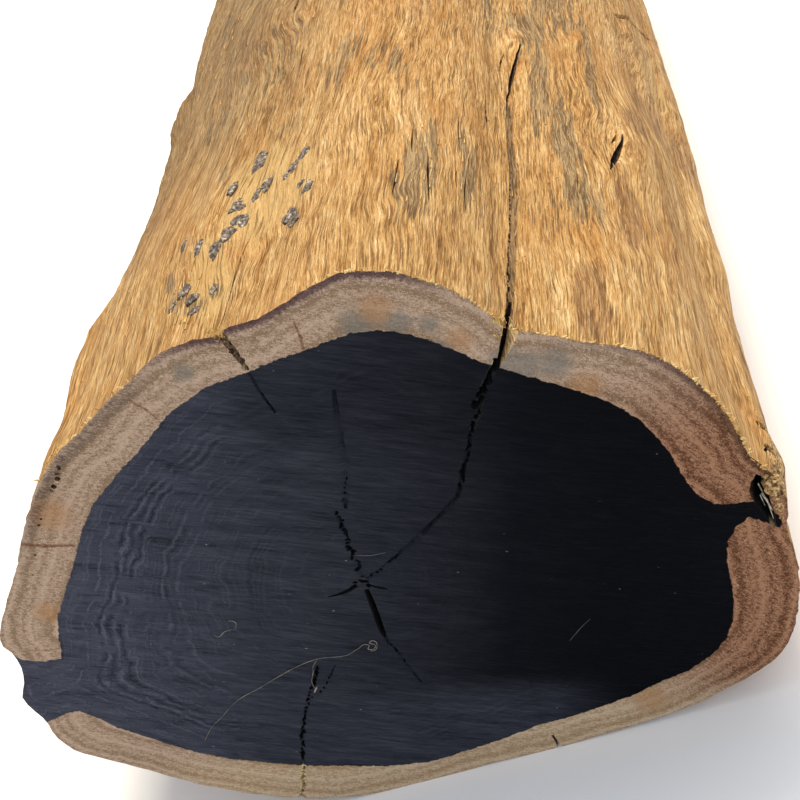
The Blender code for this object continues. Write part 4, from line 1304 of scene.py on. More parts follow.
oliveGash = {
    "line": [(226, 16.4), (222, 13.8), (236, 7.4), (246, 1.0), (250, -1.8)],
    "width": [(0, 0.5), (0.3, 2.2), (0.7, 2.6), (1, 0.4)], "depth": [(0, 0.6), (0.5, 1.6), (1, 0.5)],
}


def slitCutter(name, places, widths, depths, rough, seed):
    # a ragged V along a line of (angle, back) places on the side
    count = len(places)
    wanderLeft = unevenLine(count, seed, 4) * rough
    wanderRight = unevenLine(count, seed + 1, 4) * rough
    middle = unevenLine(count, seed + 2, 3) * rough * 1.6
    alongMm = np.stack([np.radians(places[:, 0]) * meanRadius, places[:, 1]], -1)
    heading = np.gradient(alongMm, axis=0)
    heading /= np.maximum(np.hypot(*heading.T), 1e-9)[:, None]
    sections = []
    for k in range(count):
        angle, back = places[k]
        base, around, outward = frameOnSide(angle, back)
        sideways = around * heading[k, 1] - np.array([0, 1, 0]) * heading[k, 0]
        base = base + sideways * middle[k]
        left = max(widths[k] / 2 + wanderLeft[k], 0.08)
        right = max(widths[k] / 2 + wanderRight[k], 0.08)
        deep = depths[k]
        shape = [
            (left * 1.8, 1.6), (left, 0.0), (left * 0.4, -deep),
            (-right * 0.4, -deep), (-right, 0.0), (-right * 1.8, 1.6)]
        sections.append([base + sideways * s + outward * o for s, o in shape])
    return loftMesh(name, sections)


def sideSlitCutters():
    meshes = []
    for n, (angleA, backA, angleB, backB, width, depth) in enumerate(sideSlits["cracks"]):
        count = max(int(abs(backB - backA) / 1.6), 6)
        share = np.linspace(0, 1, count)
        places = np.stack([angleA + (angleB - angleA) * share, backA + (backB - backA) * share], -1)
        taper = np.sin(math.pi * np.clip(share * 0.98 + 0.01, 0, 1)) ** 0.6
        meshes.append(slitCutter("slit%02d" % n, places, width * taper, depth * taper + 0.2,
                                 sideSlits["rough"], sideSlits["seed"] + 7 * n))
    for name, spec in (("crescent", crescent), ("crescentSide", crescentSide)):
        backs = np.linspace(spec["line"][0][0], spec["line"][-1][0], 26)
        table = {key: np.interp(backs, *np.array(sorted(spec[key])).T) for key in spec}
        meshes.append(slitCutter(
            name, np.stack([table["line"], backs], -1), table["width"], table["depth"], 0.14, 400))
    share = np.linspace(0, 1, 26)
    line = np.array(oliveGash["line"], float)
    knots = np.linspace(0, 1, len(line))
    places = np.stack([np.interp(share, knots, line[:, 1]), np.interp(share, knots, line[:, 0])], -1)
    widths = np.interp(share, *np.array(oliveGash["width"]).T)
    depths = np.interp(share, *np.array(oliveGash["depth"]).T)
    meshes.append(slitCutter("oliveGash", places, widths, depths, 0.2, 410))
    return meshes


# pits and rotten holes: right of and above the pith, back; half sizes; turn; roughness
hollowSpec = {"seed": 9, "places": [
    ((-60, 57, 205), (3.0, 4, 2.4), 0, 0.2), ((-65, 50, 196), (2.8, 3, 2.0), 0, 0.2),
    ((-50.1, 59.3, 0), (0.55, 1.4, 0.75), 0, 0.15), ((-52.1, 56.6, 0), (0.8, 1.4, 0.6), -20, 0.15),
    ((-54.2, 54.9, 0), (0.8, 1.6, 0.7), -30, 0.15), ((-55.5, 54.0, 0), (0.4, 1.0, 0.5), 0, 0.15),
    ((-51.4, 57.9, 0), (0.7, 1.0, 0.3), -20, 0.15), ((-62.6, 47.4, 0), (0.4, 1.0, 0.35), 0, 0.1),
    ((-64.2, 45.9, 0), (0.45, 1.0, 0.35), 0, 0.1), ((-70.3, 38, 0), (0.35, 0.8, 0.35), 0, 0.1),
    ((-74.6, 32.5, 0), (0.4, 0.8, 0.35), 0, 0.1),
]}
sideHoles = {  # rotten holes beside the pocket: angle, back, half mm deep, along and round
    "holes": [
        (-1.9, 16.2, 3.4, 1.9, 2.0), (-2.0, 7.0, 3.8, 2.2, 2.1), (-3.9, 4.8, 2.2, 1.4, 0.5),
        (-5.4, 2.8, 2.0, 1.8, 0.5), (-1.7, 21.5, 1.2, 1.6, 0.45), (-1.4, 29.0, 1.1, 2.4, 0.45),
        (-3.4, 12.0, 1.3, 1.2, 0.6), (-5.6, 18.0, 1.4, 1.6, 0.8)],
    "rough": 0.2,
}


def hollowCutters():
    meshes = []
    draw = random.Random(hollowSpec["seed"])
    hollows = list(hollowSpec["places"])
    for angle, back, deep, along, around in sideHoles["holes"]:
        radius = float(logRadius(angle, back)) - 0.1
        at = (radius * math.cos(math.radians(angle)), radius * math.sin(math.radians(angle)), back)
        hollows.append((at, (deep, along, around), angle, sideHoles["rough"]))
    for n, (at, half, turn, rough) in enumerate(hollows):
        bm = bmesh.new()
        bmesh.ops.create_icosphere(bm, subdivisions=3 if half[1] > 2 else 2, radius=1.0)
        angle = math.radians(turn)
        for vert in bm.verts:
            uneven = 1.0 + draw.uniform(-rough, rough)
            across, along, up = [place * size * uneven for place, size in zip(vert.co, half)]
            x = at[0] + across * math.cos(angle) - up * math.sin(angle) + pith["across"]
            z = at[1] + across * math.sin(angle) + up * math.cos(angle) + pith["height"]
            vert.co = toMetres((x, at[2] + along, z))
        mesh = bpy.data.meshes.new("hollow%02d" % n)
        bm.to_mesh(mesh)
        bm.free()
        outwardNormals(mesh)
        meshes.append(mesh)
    return meshes


mouthBevel = {  # the right wall of the top check slopes, so it catches the light
    "path": [
        (70.5, 66.6, 2.1), (66, 61.6, 2.1), (62.9, 57.9, 1.9), (60.6, 54.6, 1.4), (58.3, 51.2, 0.9),
        (56.0, 48.2, 0.2)],
    "deep": 5.5,
}
pocketShape = {  # rotten pocket at the right rim: outline about the pith, then depth and size
    "outline": [
        (97.4, -2.6), (98.9, -4.4), (98.7, -8.4), (98.4, -11.8), (98.3, -15.7), (97.6, -20.0),
        (96.5, -20.0), (96.0, -17.0), (95.3, -13.4), (94.5, -9.6), (94.6, -6.6), (95.9, -4.3)],
    "levels": [(-1.0, 1.0), (1.5, 0.97), (4.5, 0.85), (9.0, 0.6), (15.0, 0.3)],
}


def bevelCutter():
    # a wedge along the right of the mouth: wide at the face, nothing where it meets the blade
    path = np.array(mouthBevel["path"], float)
    sections = []
    heading = np.gradient(path[:, :2], axis=0)
    heading /= np.hypot(*heading.T)[:, None]
    for (x, z, wide), (hx, hz) in zip(path, heading):
        left = np.array([hz, -hx])  # to the left of the way in, which is the way off the wall
        at = np.array([pith["across"] + x, pith["height"] + z])
        profile = [
            (-1.2, -1.0), (wide * 1.15, -1.0), (wide * 0.9, 0.3), (wide * 0.45, mouthBevel["deep"] * 0.4),
            (-0.3, mouthBevel["deep"]), (-1.2, mouthBevel["deep"] * 0.9)]
        shape = []
        for offset, back in profile:
            flat = at - left * offset
            shape.append((flat[0], back, flat[1]))
        sections.append(shape)
    return loftMesh("mouthBevel", sections)


def pocketCutter():
    outline = np.array(pocketShape["outline"], float)
    middle = outline.mean(0)
    draw = random.Random(23)
    sections = []
    for back, size in pocketShape["levels"]:
        ring = []
        for x, z in outline:
            away = size * draw.uniform(0.9, 1.08)
            ring.append((
                pith["across"] + middle[0] + (x - middle[0]) * away, back,
                pith["height"] + middle[1] + (z - middle[1]) * away))
        sections.append(ring)
    return loftMesh("pocket", sections)


def cutAll(made, meshes):
    cutters = []
    for mesh in meshes:
        cutter = linkObject(mesh.name, mesh)
        modifier = made.modifiers.new(mesh.name, "BOOLEAN")
        modifier.operation = "DIFFERENCE"
        modifier.solver = "MANIFOLD"
        modifier.object = cutter
        cutters.append(cutter)
    mesh = applied(made, "log_wood")
    for cutter in cutters:
        bpy.data.objects.remove(cutter, do_unlink=True)
    return mesh


heartSheenSpec = {  # how far the painted sky reflection greys the heart, by mm across the view from the pith
    "grey": [
        (-85, 1.0), (-62, 0.92), (-50, 0.78), (-38, 0.68), (-28, 0.55), (-18, 0.47), (-9, 0.42), (0, 0.33),
        (9, 0.27), (18, 0.2), (27, 0.12), (36, 0.03), (60, 0.0),
    ],
    "across": (0.913, -0.406),  # the picture leans by the camera's roll
    "up": (0.306, 0.743),
}


def paintedSheenTone(x, z):
    # painted reflection: the heart greyed as if it caught the sky, most on the left of the view, less towards
    # its top, and a little low down
    across = x * heartSheenSpec["across"][0] + z * heartSheenSpec["across"][1]
    up = x * heartSheenSpec["up"][0] + z * heartSheenSpec["up"][1]
    tone = np.interp(across, *np.array(heartSheenSpec["grey"]).T)
    tone = tone * (1.0 - 0.3 * smoothStep((up - 28.0) / 12.0) * smoothStep((across + 35.0) / 15.0))
    low = smoothStep((-up - 24.0) / 12.0) * (1.0 - smoothStep((across - 45.0) / 25.0))
    return np.maximum(tone, 0.5 * low)


faceSpots = {  # about the pith, and mm to where a spot has faded
    # spots of broken wood round cracks and holes
    "brokenAndShade": [
        (2.8, 75, 9.0), (23.7, -73, 3.5), (-66, 39, 6.0), (18.3, 71, 3.0), (-23, 67, 4.0), (97, -12, 8.5),
        (-52.6, 56.8, 6.0), (-63.5, 46.5, 4.0), (-72, 36, 5.0), (-56, -77, 8.0),
    ],
    "stain": [
        (31, 68.5, 5.5), (39, 66, 4), (45, 63, 3), (56, 48, 5), (66, 43.5, 5), (60, 45, 5), (45.5, 56, 3),
        (-10, 72, 3),
    ],
    "orange": [
        (49.5, 57, 4), (36, 71, 5), (-60, 48, 7), (-78, 20, 5), (70, 35, 5), (73, -48, 5), (52, -66, 6),
    ],
}


def paintLog(mesh):
    # what the materials read: all of it follows from where a point is
    points = pointPlaces(mesh)
    angle, back, radius = polarOf(points)
    outer = surfaceRadius(angle, back)
    writeAttribute(mesh, "grain", grainOf(angle, back))
    heart = heartDepth(points)
    writeAttribute(mesh, "heart", heart)
    writeAttribute(mesh, "rim", np.maximum(outer - radius, 0.0))
    boundary = np.maximum(radius + heart, 20.0)
    mixRound = smoothStep(radius / 70.0)
    writeAttribute(mesh, "ring", radius * (1.0 + mixRound * (72.0 / boundary - 1.0)))
    for name in sidePatches:
        writeAttribute(mesh, name, patchField(name, angle, back))
    # painted shade: darker and greyer towards the upper left and the back, and on the lower left
    paintedSideShade = 0.5 * smoothStep((wrapped(angle) - 66.0) / 34.0) * smoothStep((back - 40.0) / 90.0)
    paintedSideShade = paintedSideShade + 0.12 * smoothStep((back - 110.0) / 120.0)
    writeAttribute(mesh, "paintedSideShade", np.where(angle < -90, 0.3, paintedSideShade))
    deepEnough = smoothStep((outer - radius - 0.05) / 0.3)
    writeAttribute(mesh, "dirt", crackShade(angle, back) * (0.22 + 0.78 * deepEnough))
    brokenAndShade = np.zeros(len(points))
    for bx, bz, size in faceSpots["brokenAndShade"]:
        away = np.hypot(points[:, 0] - pith["across"] - bx, points[:, 2] - pith["height"] - bz)
        brokenAndShade = np.maximum(brokenAndShade, np.exp(-(away / size) ** 2))
    away = np.hypot(points[:, 0] - pith["across"] - 62, points[:, 2] - pith["height"] - 57)
    mouth = np.exp(-(away / 13) ** 4)  # the painted shade starts deeper at the top check's mouth, so its walls stay pale for longer
    # painted shade: the walls of checks and holes darken from about a millimetre behind the face
    brokenAndShade = np.maximum(brokenAndShade, 0.8 * smoothStep((back - 1.0 - 5.0 * mouth) / 3.0))
    writeAttribute(mesh, "brokenAndShade", brokenAndShade)
    crumble = np.exp(-((wrapped(angle) + 5.6) / 3.9) ** 4) * smoothStep((30.0 - back) / 12.0)
    writeAttribute(mesh, "crumble", crumble)
    x, z = points[:, 0] - pith["across"], points[:, 2] - pith["height"]
    # the painted sky reflection on the heart
    writeAttribute(mesh, "heartSkySheen", paintedSheenTone(x, z))
    right = smoothStep((x - 35.0) / 45.0) * smoothStep((45.0 - z) / 35.0) * smoothStep((z + 78.0) / 14.0)
    writeAttribute(mesh, "red", right)
    low = smoothStep((-z - 36.0) / 22.0) * (1.0 - right)
    writeAttribute(mesh, "lightSap", low)
    for name in ("stain", "orange"):
        field = np.zeros(len(points))
        for sx, sz, size in faceSpots[name]:
            field = np.maximum(field, np.exp(-((x - sx) ** 2 + (z - sz) ** 2) / (size * size)))
        writeAttribute(mesh, name, field)
    writeAttribute(mesh, "poreSide", smoothStep((angle - 98.0) / 14.0) * smoothStep((158.0 - angle) / 18.0))
    top = smoothStep((angle - 50.0) / 12.0) * smoothStep((104.0 - angle) / 12.0)
    rightRim = 0.85 * smoothStep((angle + 8.0) / 6.0) * smoothStep((44.0 - angle) / 30.0)
    writeAttribute(mesh, "purple", np.maximum(top, rightRim))


def dressLog(mesh, materials):
    # one slot each for the weathered side, the sawn ends and the walls of checks and hollows
    mesh.materials.clear()
    for material in materials:
        mesh.materials.append(material)
    points = pointPlaces(mesh)
    angle, back, radius = polarOf(points)
    depth = surfaceRadius(angle, back) - radius
    count = len(mesh.polygons)
    normals = np.zeros(count * 3, np.float32)
    mesh.polygons.foreach_get("normal", normals)
    normals = normals.reshape(-1, 3)
    starts = np.zeros(count, np.int32)
    totals = np.zeros(count, np.int32)
    mesh.polygons.foreach_get("loop_start", starts)
    mesh.polygons.foreach_get("loop_total", totals)
    corners = np.zeros(len(mesh.loops), np.int32)
    mesh.loops.foreach_get("vertex_index", corners)
    meanDepth = np.add.reduceat(depth[corners], starts) / totals
    meanBack = np.add.reduceat(back[corners], starts) / totals
    onEnd = ((meanBack < 0.05) | (meanBack > lengthMm - 0.05)) & (np.abs(normals[:, 1]) > 0.9)
    inside = (meanDepth > 0.8) & ~onEnd
    meanHeart = np.add.reduceat(heartDepth(points)[corners], starts) / totals
    meanX = np.add.reduceat(points[:, 0][corners], starts) / totals
    # shallow grooves in the heart are as dark as it is
    creased = inside & (meanBack < 1.5) & (meanHeart > 0) & (np.abs(normals[:, 1]) > 0.3)
    creased = creased & (meanX < pith["across"] + 42)
    index = np.where(onEnd | creased, 1, np.where(inside, 2, 0)).astype(np.int32)
    mesh.polygons.foreach_set("material_index", index)
    mesh.shade_smooth()
    mesh.set_sharp_from_angle(angle=math.radians(48))


# splinters, with Geometry Nodes
sliverSpec = {
    "Bend": 0.18,  # how far a splinter bows, in its own lengths
    "Steps": 4,  # pieces along a splinter
    "Sides": 4,
    "Tip": 0.25,  # its thickness at the tip, against the root
    "Seed": 3,
}


def sliverTree(material, name):
    # a bent, tapering splinter on every point, turned along the point's own direction
    tree = bpy.data.node_groups.new(name, "GeometryNodeTree")
    given, result = socketsOf(tree, sliverSpec)
    sizes = given.outputs
    middle = addNode(tree, "ShaderNodeCombineXYZ", {"X": sizes["Bend"], "Z": 0.55}).outputs[0]
    bow = addNode(tree, "GeometryNodeCurveQuadraticBezier", {
        "Resolution": sizes["Steps"], "Start": (0, 0, 0), "Middle": middle, "End": (0, 0, 1)}).outputs[0]
    along = addNode(tree, "GeometryNodeSplineParameter").outputs["Factor"]
    thick = addNode(tree, "ShaderNodeMapRange", {
        "Value": along, "From Min": 0.0, "From Max": 1.0, "To Min": 1.0,
        "To Max": sizes["Tip"]}).outputs["Result"]
    bow = addNode(tree, "GeometryNodeSetCurveRadius", {"Curve": bow, "Radius": thick}).outputs[0]
    ring = addNode(tree, "GeometryNodeCurvePrimitiveCircle", {
        "Resolution": sizes["Sides"], "Radius": 0.5}).outputs[0]
    tube = addNode(tree, "GeometryNodeCurveToMesh", {"Curve": bow, "Profile Curve": ring, "Fill Caps": True})
    if "Scale" in tube.inputs:
        tree.links.new(thick, tube.inputs["Scale"])
    direction, size = namedAttribute(tree, "direction"), namedAttribute(tree, "size")
    upright = addNode(tree, "FunctionNodeAlignRotationToVector", {"Vector": direction}, axis="Z").outputs[0]
    spin = addNode(tree, "FunctionNodeRandomValue", {
        "Min": (0, 0, 0), "Max": (0, 0, 2 * math.pi), "Seed": sizes["Seed"]},
        data_type="FLOAT_VECTOR").outputs[0]
    spun = addNode(tree, "FunctionNodeRotateRotation", {
        "Rotation": upright, "Rotate By": spin}, rotation_space="LOCAL").outputs[0]
    laid = addNode(tree, "GeometryNodeInstanceOnPoints", {
        "Points": sizes["Geometry"], "Instance": tube.outputs[0], "Rotation": spun, "Scale": size}).outputs[0]
    tree.links.new(realised(tree, laid, material), result.inputs[0])
    return tree


def makeSlivers(name, places, directions, lengths, widths, material, **changes):
    # places in mm; each splinter's length and width in mm
    mesh = bpy.data.meshes.new(name)
    mesh.from_pydata(toMetres(places).tolist(), [], [])
    writeAttribute(mesh, "direction", np.asarray(directions, float))
    writeAttribute(mesh, "size", np.stack([widths, widths, lengths], -1) * mm)
    made = linkObject(name, mesh)
    sizes = dict(sliverSpec)
    sizes.update(changes)
    useTree(made, sliverTree(material, name + "Tree"), sizes)
    mesh = applied(made, name)
    mesh.shade_smooth()
    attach(made, "root")
    print(name, len(mesh.polygons), "faces")
    return made


rimBurr = {  # crumbs that the saw pushed over the edge
    "stretches": [(-3, 42, 0.8), (44, 58, 0.9), (58, 72, 1.3), (104, 132, 2.6)],  # from, to, spacing in mm
    "length": (0.8, 1.7), "width": (0.35, 0.75), "seed": 31,
}


def makeRimBurr(material):
    draw = random.Random(rimBurr["seed"])
    places, directions, lengths, widths = [], [], [], []
    for start, end, spacing in rimBurr["stretches"]:
        angle = start
        while angle < end:
            angle += math.degrees(draw.uniform(0.5, 1.5) * spacing / 85.0)
            radius = float(frontOutline(angle))
            back = draw.uniform(-0.15, 0.35)
            places.append(placeAt(angle, back, radius - 0.15))
            turn = math.radians(angle + draw.uniform(-50, 50))
            directions.append((math.cos(turn), draw.uniform(-0.9, 0.5), math.sin(turn)))
            lengths.append(draw.uniform(*rimBurr["length"]))
            widths.append(draw.uniform(*rimBurr["width"]))
    makeSlivers("rim_burr", places, directions, np.array(lengths), np.array(widths), material, Seed=5)


sideFibres = {  # loose fibres lying on the side
    "count": 1500, "length": (2.0, 6.0), "width": (0.3, 0.6), "seed": 41,
}


def makeSideFibres(material):
    draw = np.random.RandomState(sideFibres["seed"])
    count = sideFibres["count"]
    angle = draw.uniform(-40, 178, count)
    back = draw.uniform(1, lengthMm - 6, count)
    length = draw.uniform(*sideFibres["length"], count)
    width = draw.uniform(*sideFibres["width"], count)
    # each lies along the fibres: a step along the side that keeps its label
    step = 2.0
    change = (fibreLabel(angle, back + step) - fibreLabel(angle, back)) / step
    across = fibreLabel(angle + 0.5, back) - fibreLabel(angle, back)
    lean = -change / np.where(np.abs(across) < 0.05, 0.05, across) * 0.5
    nextAngle = angle + np.clip(lean, -0.5, 0.5) * length
    radius = logRadius(angle, back)
    nextRadius = logRadius(nextAngle, back + length)
    sink = width * 0.32
    places = placeAt(angle, back, radius - sink)
    ends = placeAt(nextAngle, back + length, nextRadius - sink + draw.uniform(-0.2, 0.35, count))
    keep = places[:, 2] > 3
    makeSlivers("side_fibres", places[keep], (ends - places)[keep], length[keep], width[keep], material,
                Seed=9, Bend=0.01, Tip=0.4, Steps=2)


patchSlivers = {  # raised straw slivers
    "patches": [  # angle, back, spread in degrees and mm, count
        (60.2, 46, 1.1, 15, 26), (58, 62, 0.8, 10, 10), (50.6, 62, 0.7, 16, 8), (98, 26, 2.2, 8, 14),
        (95, 8, 2.5, 4, 8),
    ],
    "length": (2.0, 6.5), "width": (0.25, 0.5), "seed": 14,
}


def makePatchSlivers(material):
    draw = np.random.RandomState(patchSlivers["seed"])
    places, directions, lengths, widths = [], [], [], []
    for atAngle, atBack, spread, along, count in patchSlivers["patches"]:
        for _ in range(count):
            angle = atAngle + draw.normal() * spread
            back = max(atBack + draw.normal() * along * 0.6, 0.5)
            length, width = draw.uniform(*patchSlivers["length"]), draw.uniform(*patchSlivers["width"])
            turned = angle + draw.uniform(-0.35, 0.35)
            start = placeAt(angle, back, float(logRadius(angle, back)) - width * 0.12)
            surface = float(logRadius(turned, back + length))
            end = placeAt(turned, back + length, surface + draw.uniform(-0.1, 0.3))
            places.append(start)
            directions.append(end - start)
            lengths.append(length)
            widths.append(width)
    makeSlivers("straw_slivers", np.array(places), directions, np.array(lengths), np.array(widths), material,
                Seed=21, Bend=0.02, Tip=0.3, Steps=3)


# clumps of torn fibre: place about the pith and back, spread, direction, count, length, width
tornEdges = {"seed": 17, "clumps": [
    ((59.4, 58.9, 0.0), (1.2, 1.5, 0.4), (-0.3, -0.5, -0.6), 46, (0.8, 2.2), (0.22, 0.42)),
    ((57.0, 55.2, 0.0), (0.7, 1.8, 0.2), (0.5, -0.3, -0.5), 16, (0.4, 0.9), (0.2, 0.34)),
    ((1.6, 78, 0.2), (1.6, 1.6, 0.7), (0.2, -0.5, 0.6), 34, (0.6, 1.8), (0.2, 0.4)),
    ((99.6, -14.6, 0.2), (0.6, 1.8, 0.3), (0.1, -0.6, 0.2), 16, (0.4, 0.9), (0.25, 0.5)),
]}


def makeTornEdges(material):
    draw = np.random.RandomState(tornEdges["seed"])
    places, directions, lengths, widths = [], [], [], []
    for (x, z, back), spread, way, count, length, width in tornEdges["clumps"]:
        for _ in range(count):
            offset = draw.normal(size=3) * 0.55
            places.append((
                pith["across"] + x + offset[0] * spread[0], max(back + offset[2] * spread[2], -0.3),
                pith["height"] + z + offset[1] * spread[1]))
            directions.append([part + draw.normal() * 0.45 for part in way])
            lengths.append(draw.uniform(*length))
            widths.append(draw.uniform(*width))
    makeSlivers("torn_edges", np.array(places), directions, np.array(lengths), np.array(widths), material,
                Seed=8, Bend=0.3, Tip=0.2, Steps=4)


# scraps of bark: angle, back, half mm round, half mm along, turn in degrees, height
barkScraps = {"seed": 77, "corners": 14, "scraps": [
    (89.1, 82.7, 1.4, 7.0, 6, 0.8), (78.8, 73.7, 1.2, 3.6, 8, 0.6), (80.5, 68.1, 1.2, 4.0, 12, 0.7),
    (81.9, 64.6, 0.9, 2.2, 0, 0.6), (85.7, 64.4, 1.1, 3.8, 6, 0.8), (87.6, 60.4, 1.3, 3.2, 10, 0.8),
    (90.6, 56.8, 1.7, 3.6, 10, 0.9), (89.2, 48.9, 2.1, 3.6, -10, 1.0), (91.0, 43.6, 1.6, 3.4, 14, 0.9),
    (92.9, 37.0, 1.4, 3.8, 4, 0.9), (79.0, 41.0, 1.9, 3.4, -8, 0.8), (78.0, 37.2, 1.2, 2.4, 10, 0.7),
    (76.5, 51.4, 1.2, 3.2, 14, 0.6), (78.2, 55.4, 0.9, 2.4, 30, 0.5), (96.8, 42.2, 1.0, 3.8, 4, 0.45),
    (92.7, 67.0, 1.0, 3.6, 8, 0.6), (102.2, 51.5, 1.0, 3.6, -4, 0.5), (97.5, 24.0, 1.5, 2.6, 20, 0.5),
    (95.2, 18.6, 1.5, 2.2, 30, 0.55), (91.4, 19.9, 1.0, 2.4, 10, 0.5), (99.6, 20.0, 1.0, 2.4, 0, 0.5),
    (94.0, 12.5, 1.1, 1.8, 40, 0.45),
]}


def makeBarkScraps(material):
    # low lumpy scabs with a ragged outline, closed underneath
    draw = random.Random(barkScraps["seed"])
    points, faces = [], []
    corners = barkScraps["corners"]
    for angle, back, halfRound, halfAlong, turn, high in barkScraps["scraps"]:
        base = len(points)
        lean = math.radians(turn)
        phase = [draw.uniform(0, 6.28) for _ in range(4)]
        levels = ((1.0, -0.5), (1.0, 0.16), (0.82, 0.62), (0.55, 0.85), (0.26, 1.0))
        for size, level in levels:
            for i in range(corners):
                t = 2 * math.pi * i / corners
                ragged = 1 + 0.16 * math.sin(3 * t + phase[0]) + 0.13 * math.sin(5 * t + phase[1])
                ragged = ragged + draw.uniform(-0.07, 0.07)
                u = math.cos(t) * halfRound * 1.2 * size * ragged
                v = math.sin(t) * halfAlong * size * ragged
                around = u * math.cos(lean) - v * math.sin(lean)
                along = u * math.sin(lean) + v * math.cos(lean)
                a = angle + math.degrees(around / meanRadius)
                lift = level * high * (0.75 + 0.25 * math.sin(2 * t + phase[2]))
                if level > 0.1:
                    lift = lift + draw.uniform(-0.14, 0.16)
                points.append(placeAt(a, back + along, float(logRadius(a, back + along)) + lift))
        faces += tubeFaces(base, len(levels), corners)
    mesh = meshFrom("bark_scraps", np.array(points), faces)
    outwardNormals(mesh)
    mesh.materials.append(material)
    mesh.shade_smooth()
    made = linkObject("bark_scraps", mesh)
    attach(made, "root")
    print("bark scraps:", len(faces), "faces")


def smoothPath(corners, count):  # a curve through places, evenly sampled
    corners = np.array(corners, float)
    ends = np.vstack([2 * corners[0] - corners[1], corners, 2 * corners[-1] - corners[-2]])
    out = []
    for i in range(1, len(ends) - 2):
        for t in np.linspace(0, 1, count, endpoint=False):
            a, b, c, d = ends[i - 1:i + 3]
            square, cube = 2 * a - 5 * b + 4 * c - d, 3 * b - a - 3 * c + d
            out.append(0.5 * (2 * b + (c - a) * t + square * t ** 2 + cube * t ** 3))
    return np.array(out + [corners[-1]])


def tubeAlong(points, path, radius, faces, sides=5):
    base = len(points)
    for k, at in enumerate(path):
        along = path[min(k + 1, len(path) - 1)] - path[max(k - 1, 0)]
        along /= max(np.linalg.norm(along), 1e-9)
        side = np.cross(along, [0.0, 1, 0])
        side /= max(np.linalg.norm(side), 1e-9)
        up = np.cross(side, along)
        taper = radius * (0.45 + 0.55 * math.sin(math.pi * (k + 0.5) / len(path)) ** 0.5)
        for i in range(sides):
            t = 2 * math.pi * i / sides
            points.append(at + (side * math.cos(t) + up * math.sin(t)) * taper)
    faces += tubeFaces(base, len(path), sides)


# threads on the sawn face: places about the pith, then mm thick
looseThreads = {"seed": 5, "threads": [
    ([
        (-64.6, -37.7), (-60, -33.4), (-55.6, -30.8), (-48.8, -26.6), (-40.8, -24.4), (-34.5, -22.4),
        (-27.3, -20.8), (-21.3, -20.3), (-14.9, -21.7), (-10.6, -20.6)], 0.16),
    ([
        (-10.6, -20.6), (-8.8, -19.9), (-7.6, -20.6), (-8.4, -21.8), (-7.0, -22.2), (-6.0, -21.0),
        (-7.2, -20.0), (-6.2, -19.4), (-5.4, -20.4), (-6.4, -22.4), (-8.0, -22.6)], 0.26),
    ([(-22.4, -20.7), (-24.2, -22.2), (-25.3, -24.4), (-27.1, -27.3), (-27.6, -30)], 0.22),
    ([
        (-42.9, -2.4), (-41.8, -3.6), (-39.5, -2.6), (-36.6, -2.5), (-35.4, -0.7), (-36.4, 0.5),
        (-37.2, 0.2)], 0.2),
    ([(47.4, -32.3), (44, -34.6), (40.2, -37.7)], 0.1), ([(2.4, 8.6), (6, 7.4), (9.6, 6.9)], 0.12),
    ([(-26.6, -29.4), (-27.4, -30.2), (-28.2, -31.2)], 0.55),
]}


def makeThreads(material):
    points, faces = [], []
    draw = random.Random(looseThreads["seed"])
    for corners, thick in looseThreads["threads"]:
        places = [
            (pith["across"] + x, -thick * 0.35 - draw.uniform(0.0, 0.25), pith["height"] + z)
            for x, z in corners]
        tubeAlong(points, smoothPath(places, 5), thick / 2, faces)
    mesh = meshFrom("loose_threads", np.array(points), faces)
    outwardNormals(mesh)
    mesh.materials.append(material)
    mesh.shade_smooth()
    made = linkObject("loose_threads", mesh)
    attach(made, "root")
    print("loose threads:", len(faces), "faces")


# thin pale blades that stand in the pocket: both ends, back of both, mm wide
pocketShards = {
    "blades": [
        (96.9, -8.6, 97.3, -12.4, 3.4, 2.2, 0.5), (97.0, -10.8, 98.0, -15.9, 2.4, 1.2, 0.75),
        (97.6, -12.6, 97.5, -18.3, 1.8, 1.0, 0.45), (96.4, -11.6, 96.7, -14.4, 2.8, 1.8, 0.35)],
}


def makePocketShards(material):
    places, directions, lengths, widths = [], [], [], []
    for x, z, endX, endZ, back, endBack, wide in pocketShards["blades"]:
        place = np.array((pith["across"] + x, back, pith["height"] + z))
        way = np.array((pith["across"] + endX, endBack, pith["height"] + endZ)) - place
        places.append(place)
        directions.append(way)
        lengths.append(float(np.linalg.norm(way)))
        widths.append(wide)
    makeSlivers("pocket_shards", np.array(places), directions, np.array(lengths), np.array(widths), material,
                Seed=12, Bend=0.03, Tip=0.5, Steps=4)


rimLump = {  # knobs of crumbling wood round the rotten pocket: place, half sizes
    "lumps": [
        ((100.2, -7.7, 0.7), (2.2, 2.6, 3.0)), ((101.0, -4.4, 5), (1.0, 3.5, 0.9)),
        ((99.8, -14.3, 0.7), (1.1, 1.3, 1.9)), ((99.2, -4.2, 0.9), (0.9, 1.5, 0.8)),
        ((99.4, -17.8, 0.7), (0.8, 1.0, 1.1))],
    "rolled": {"at": (100.3, -7.7), "half": (1.85, 2.7), "turn": 14.0, "back": -1.2, "thick": 0.8},
    "rough": 0.2, "seed": 6,
}


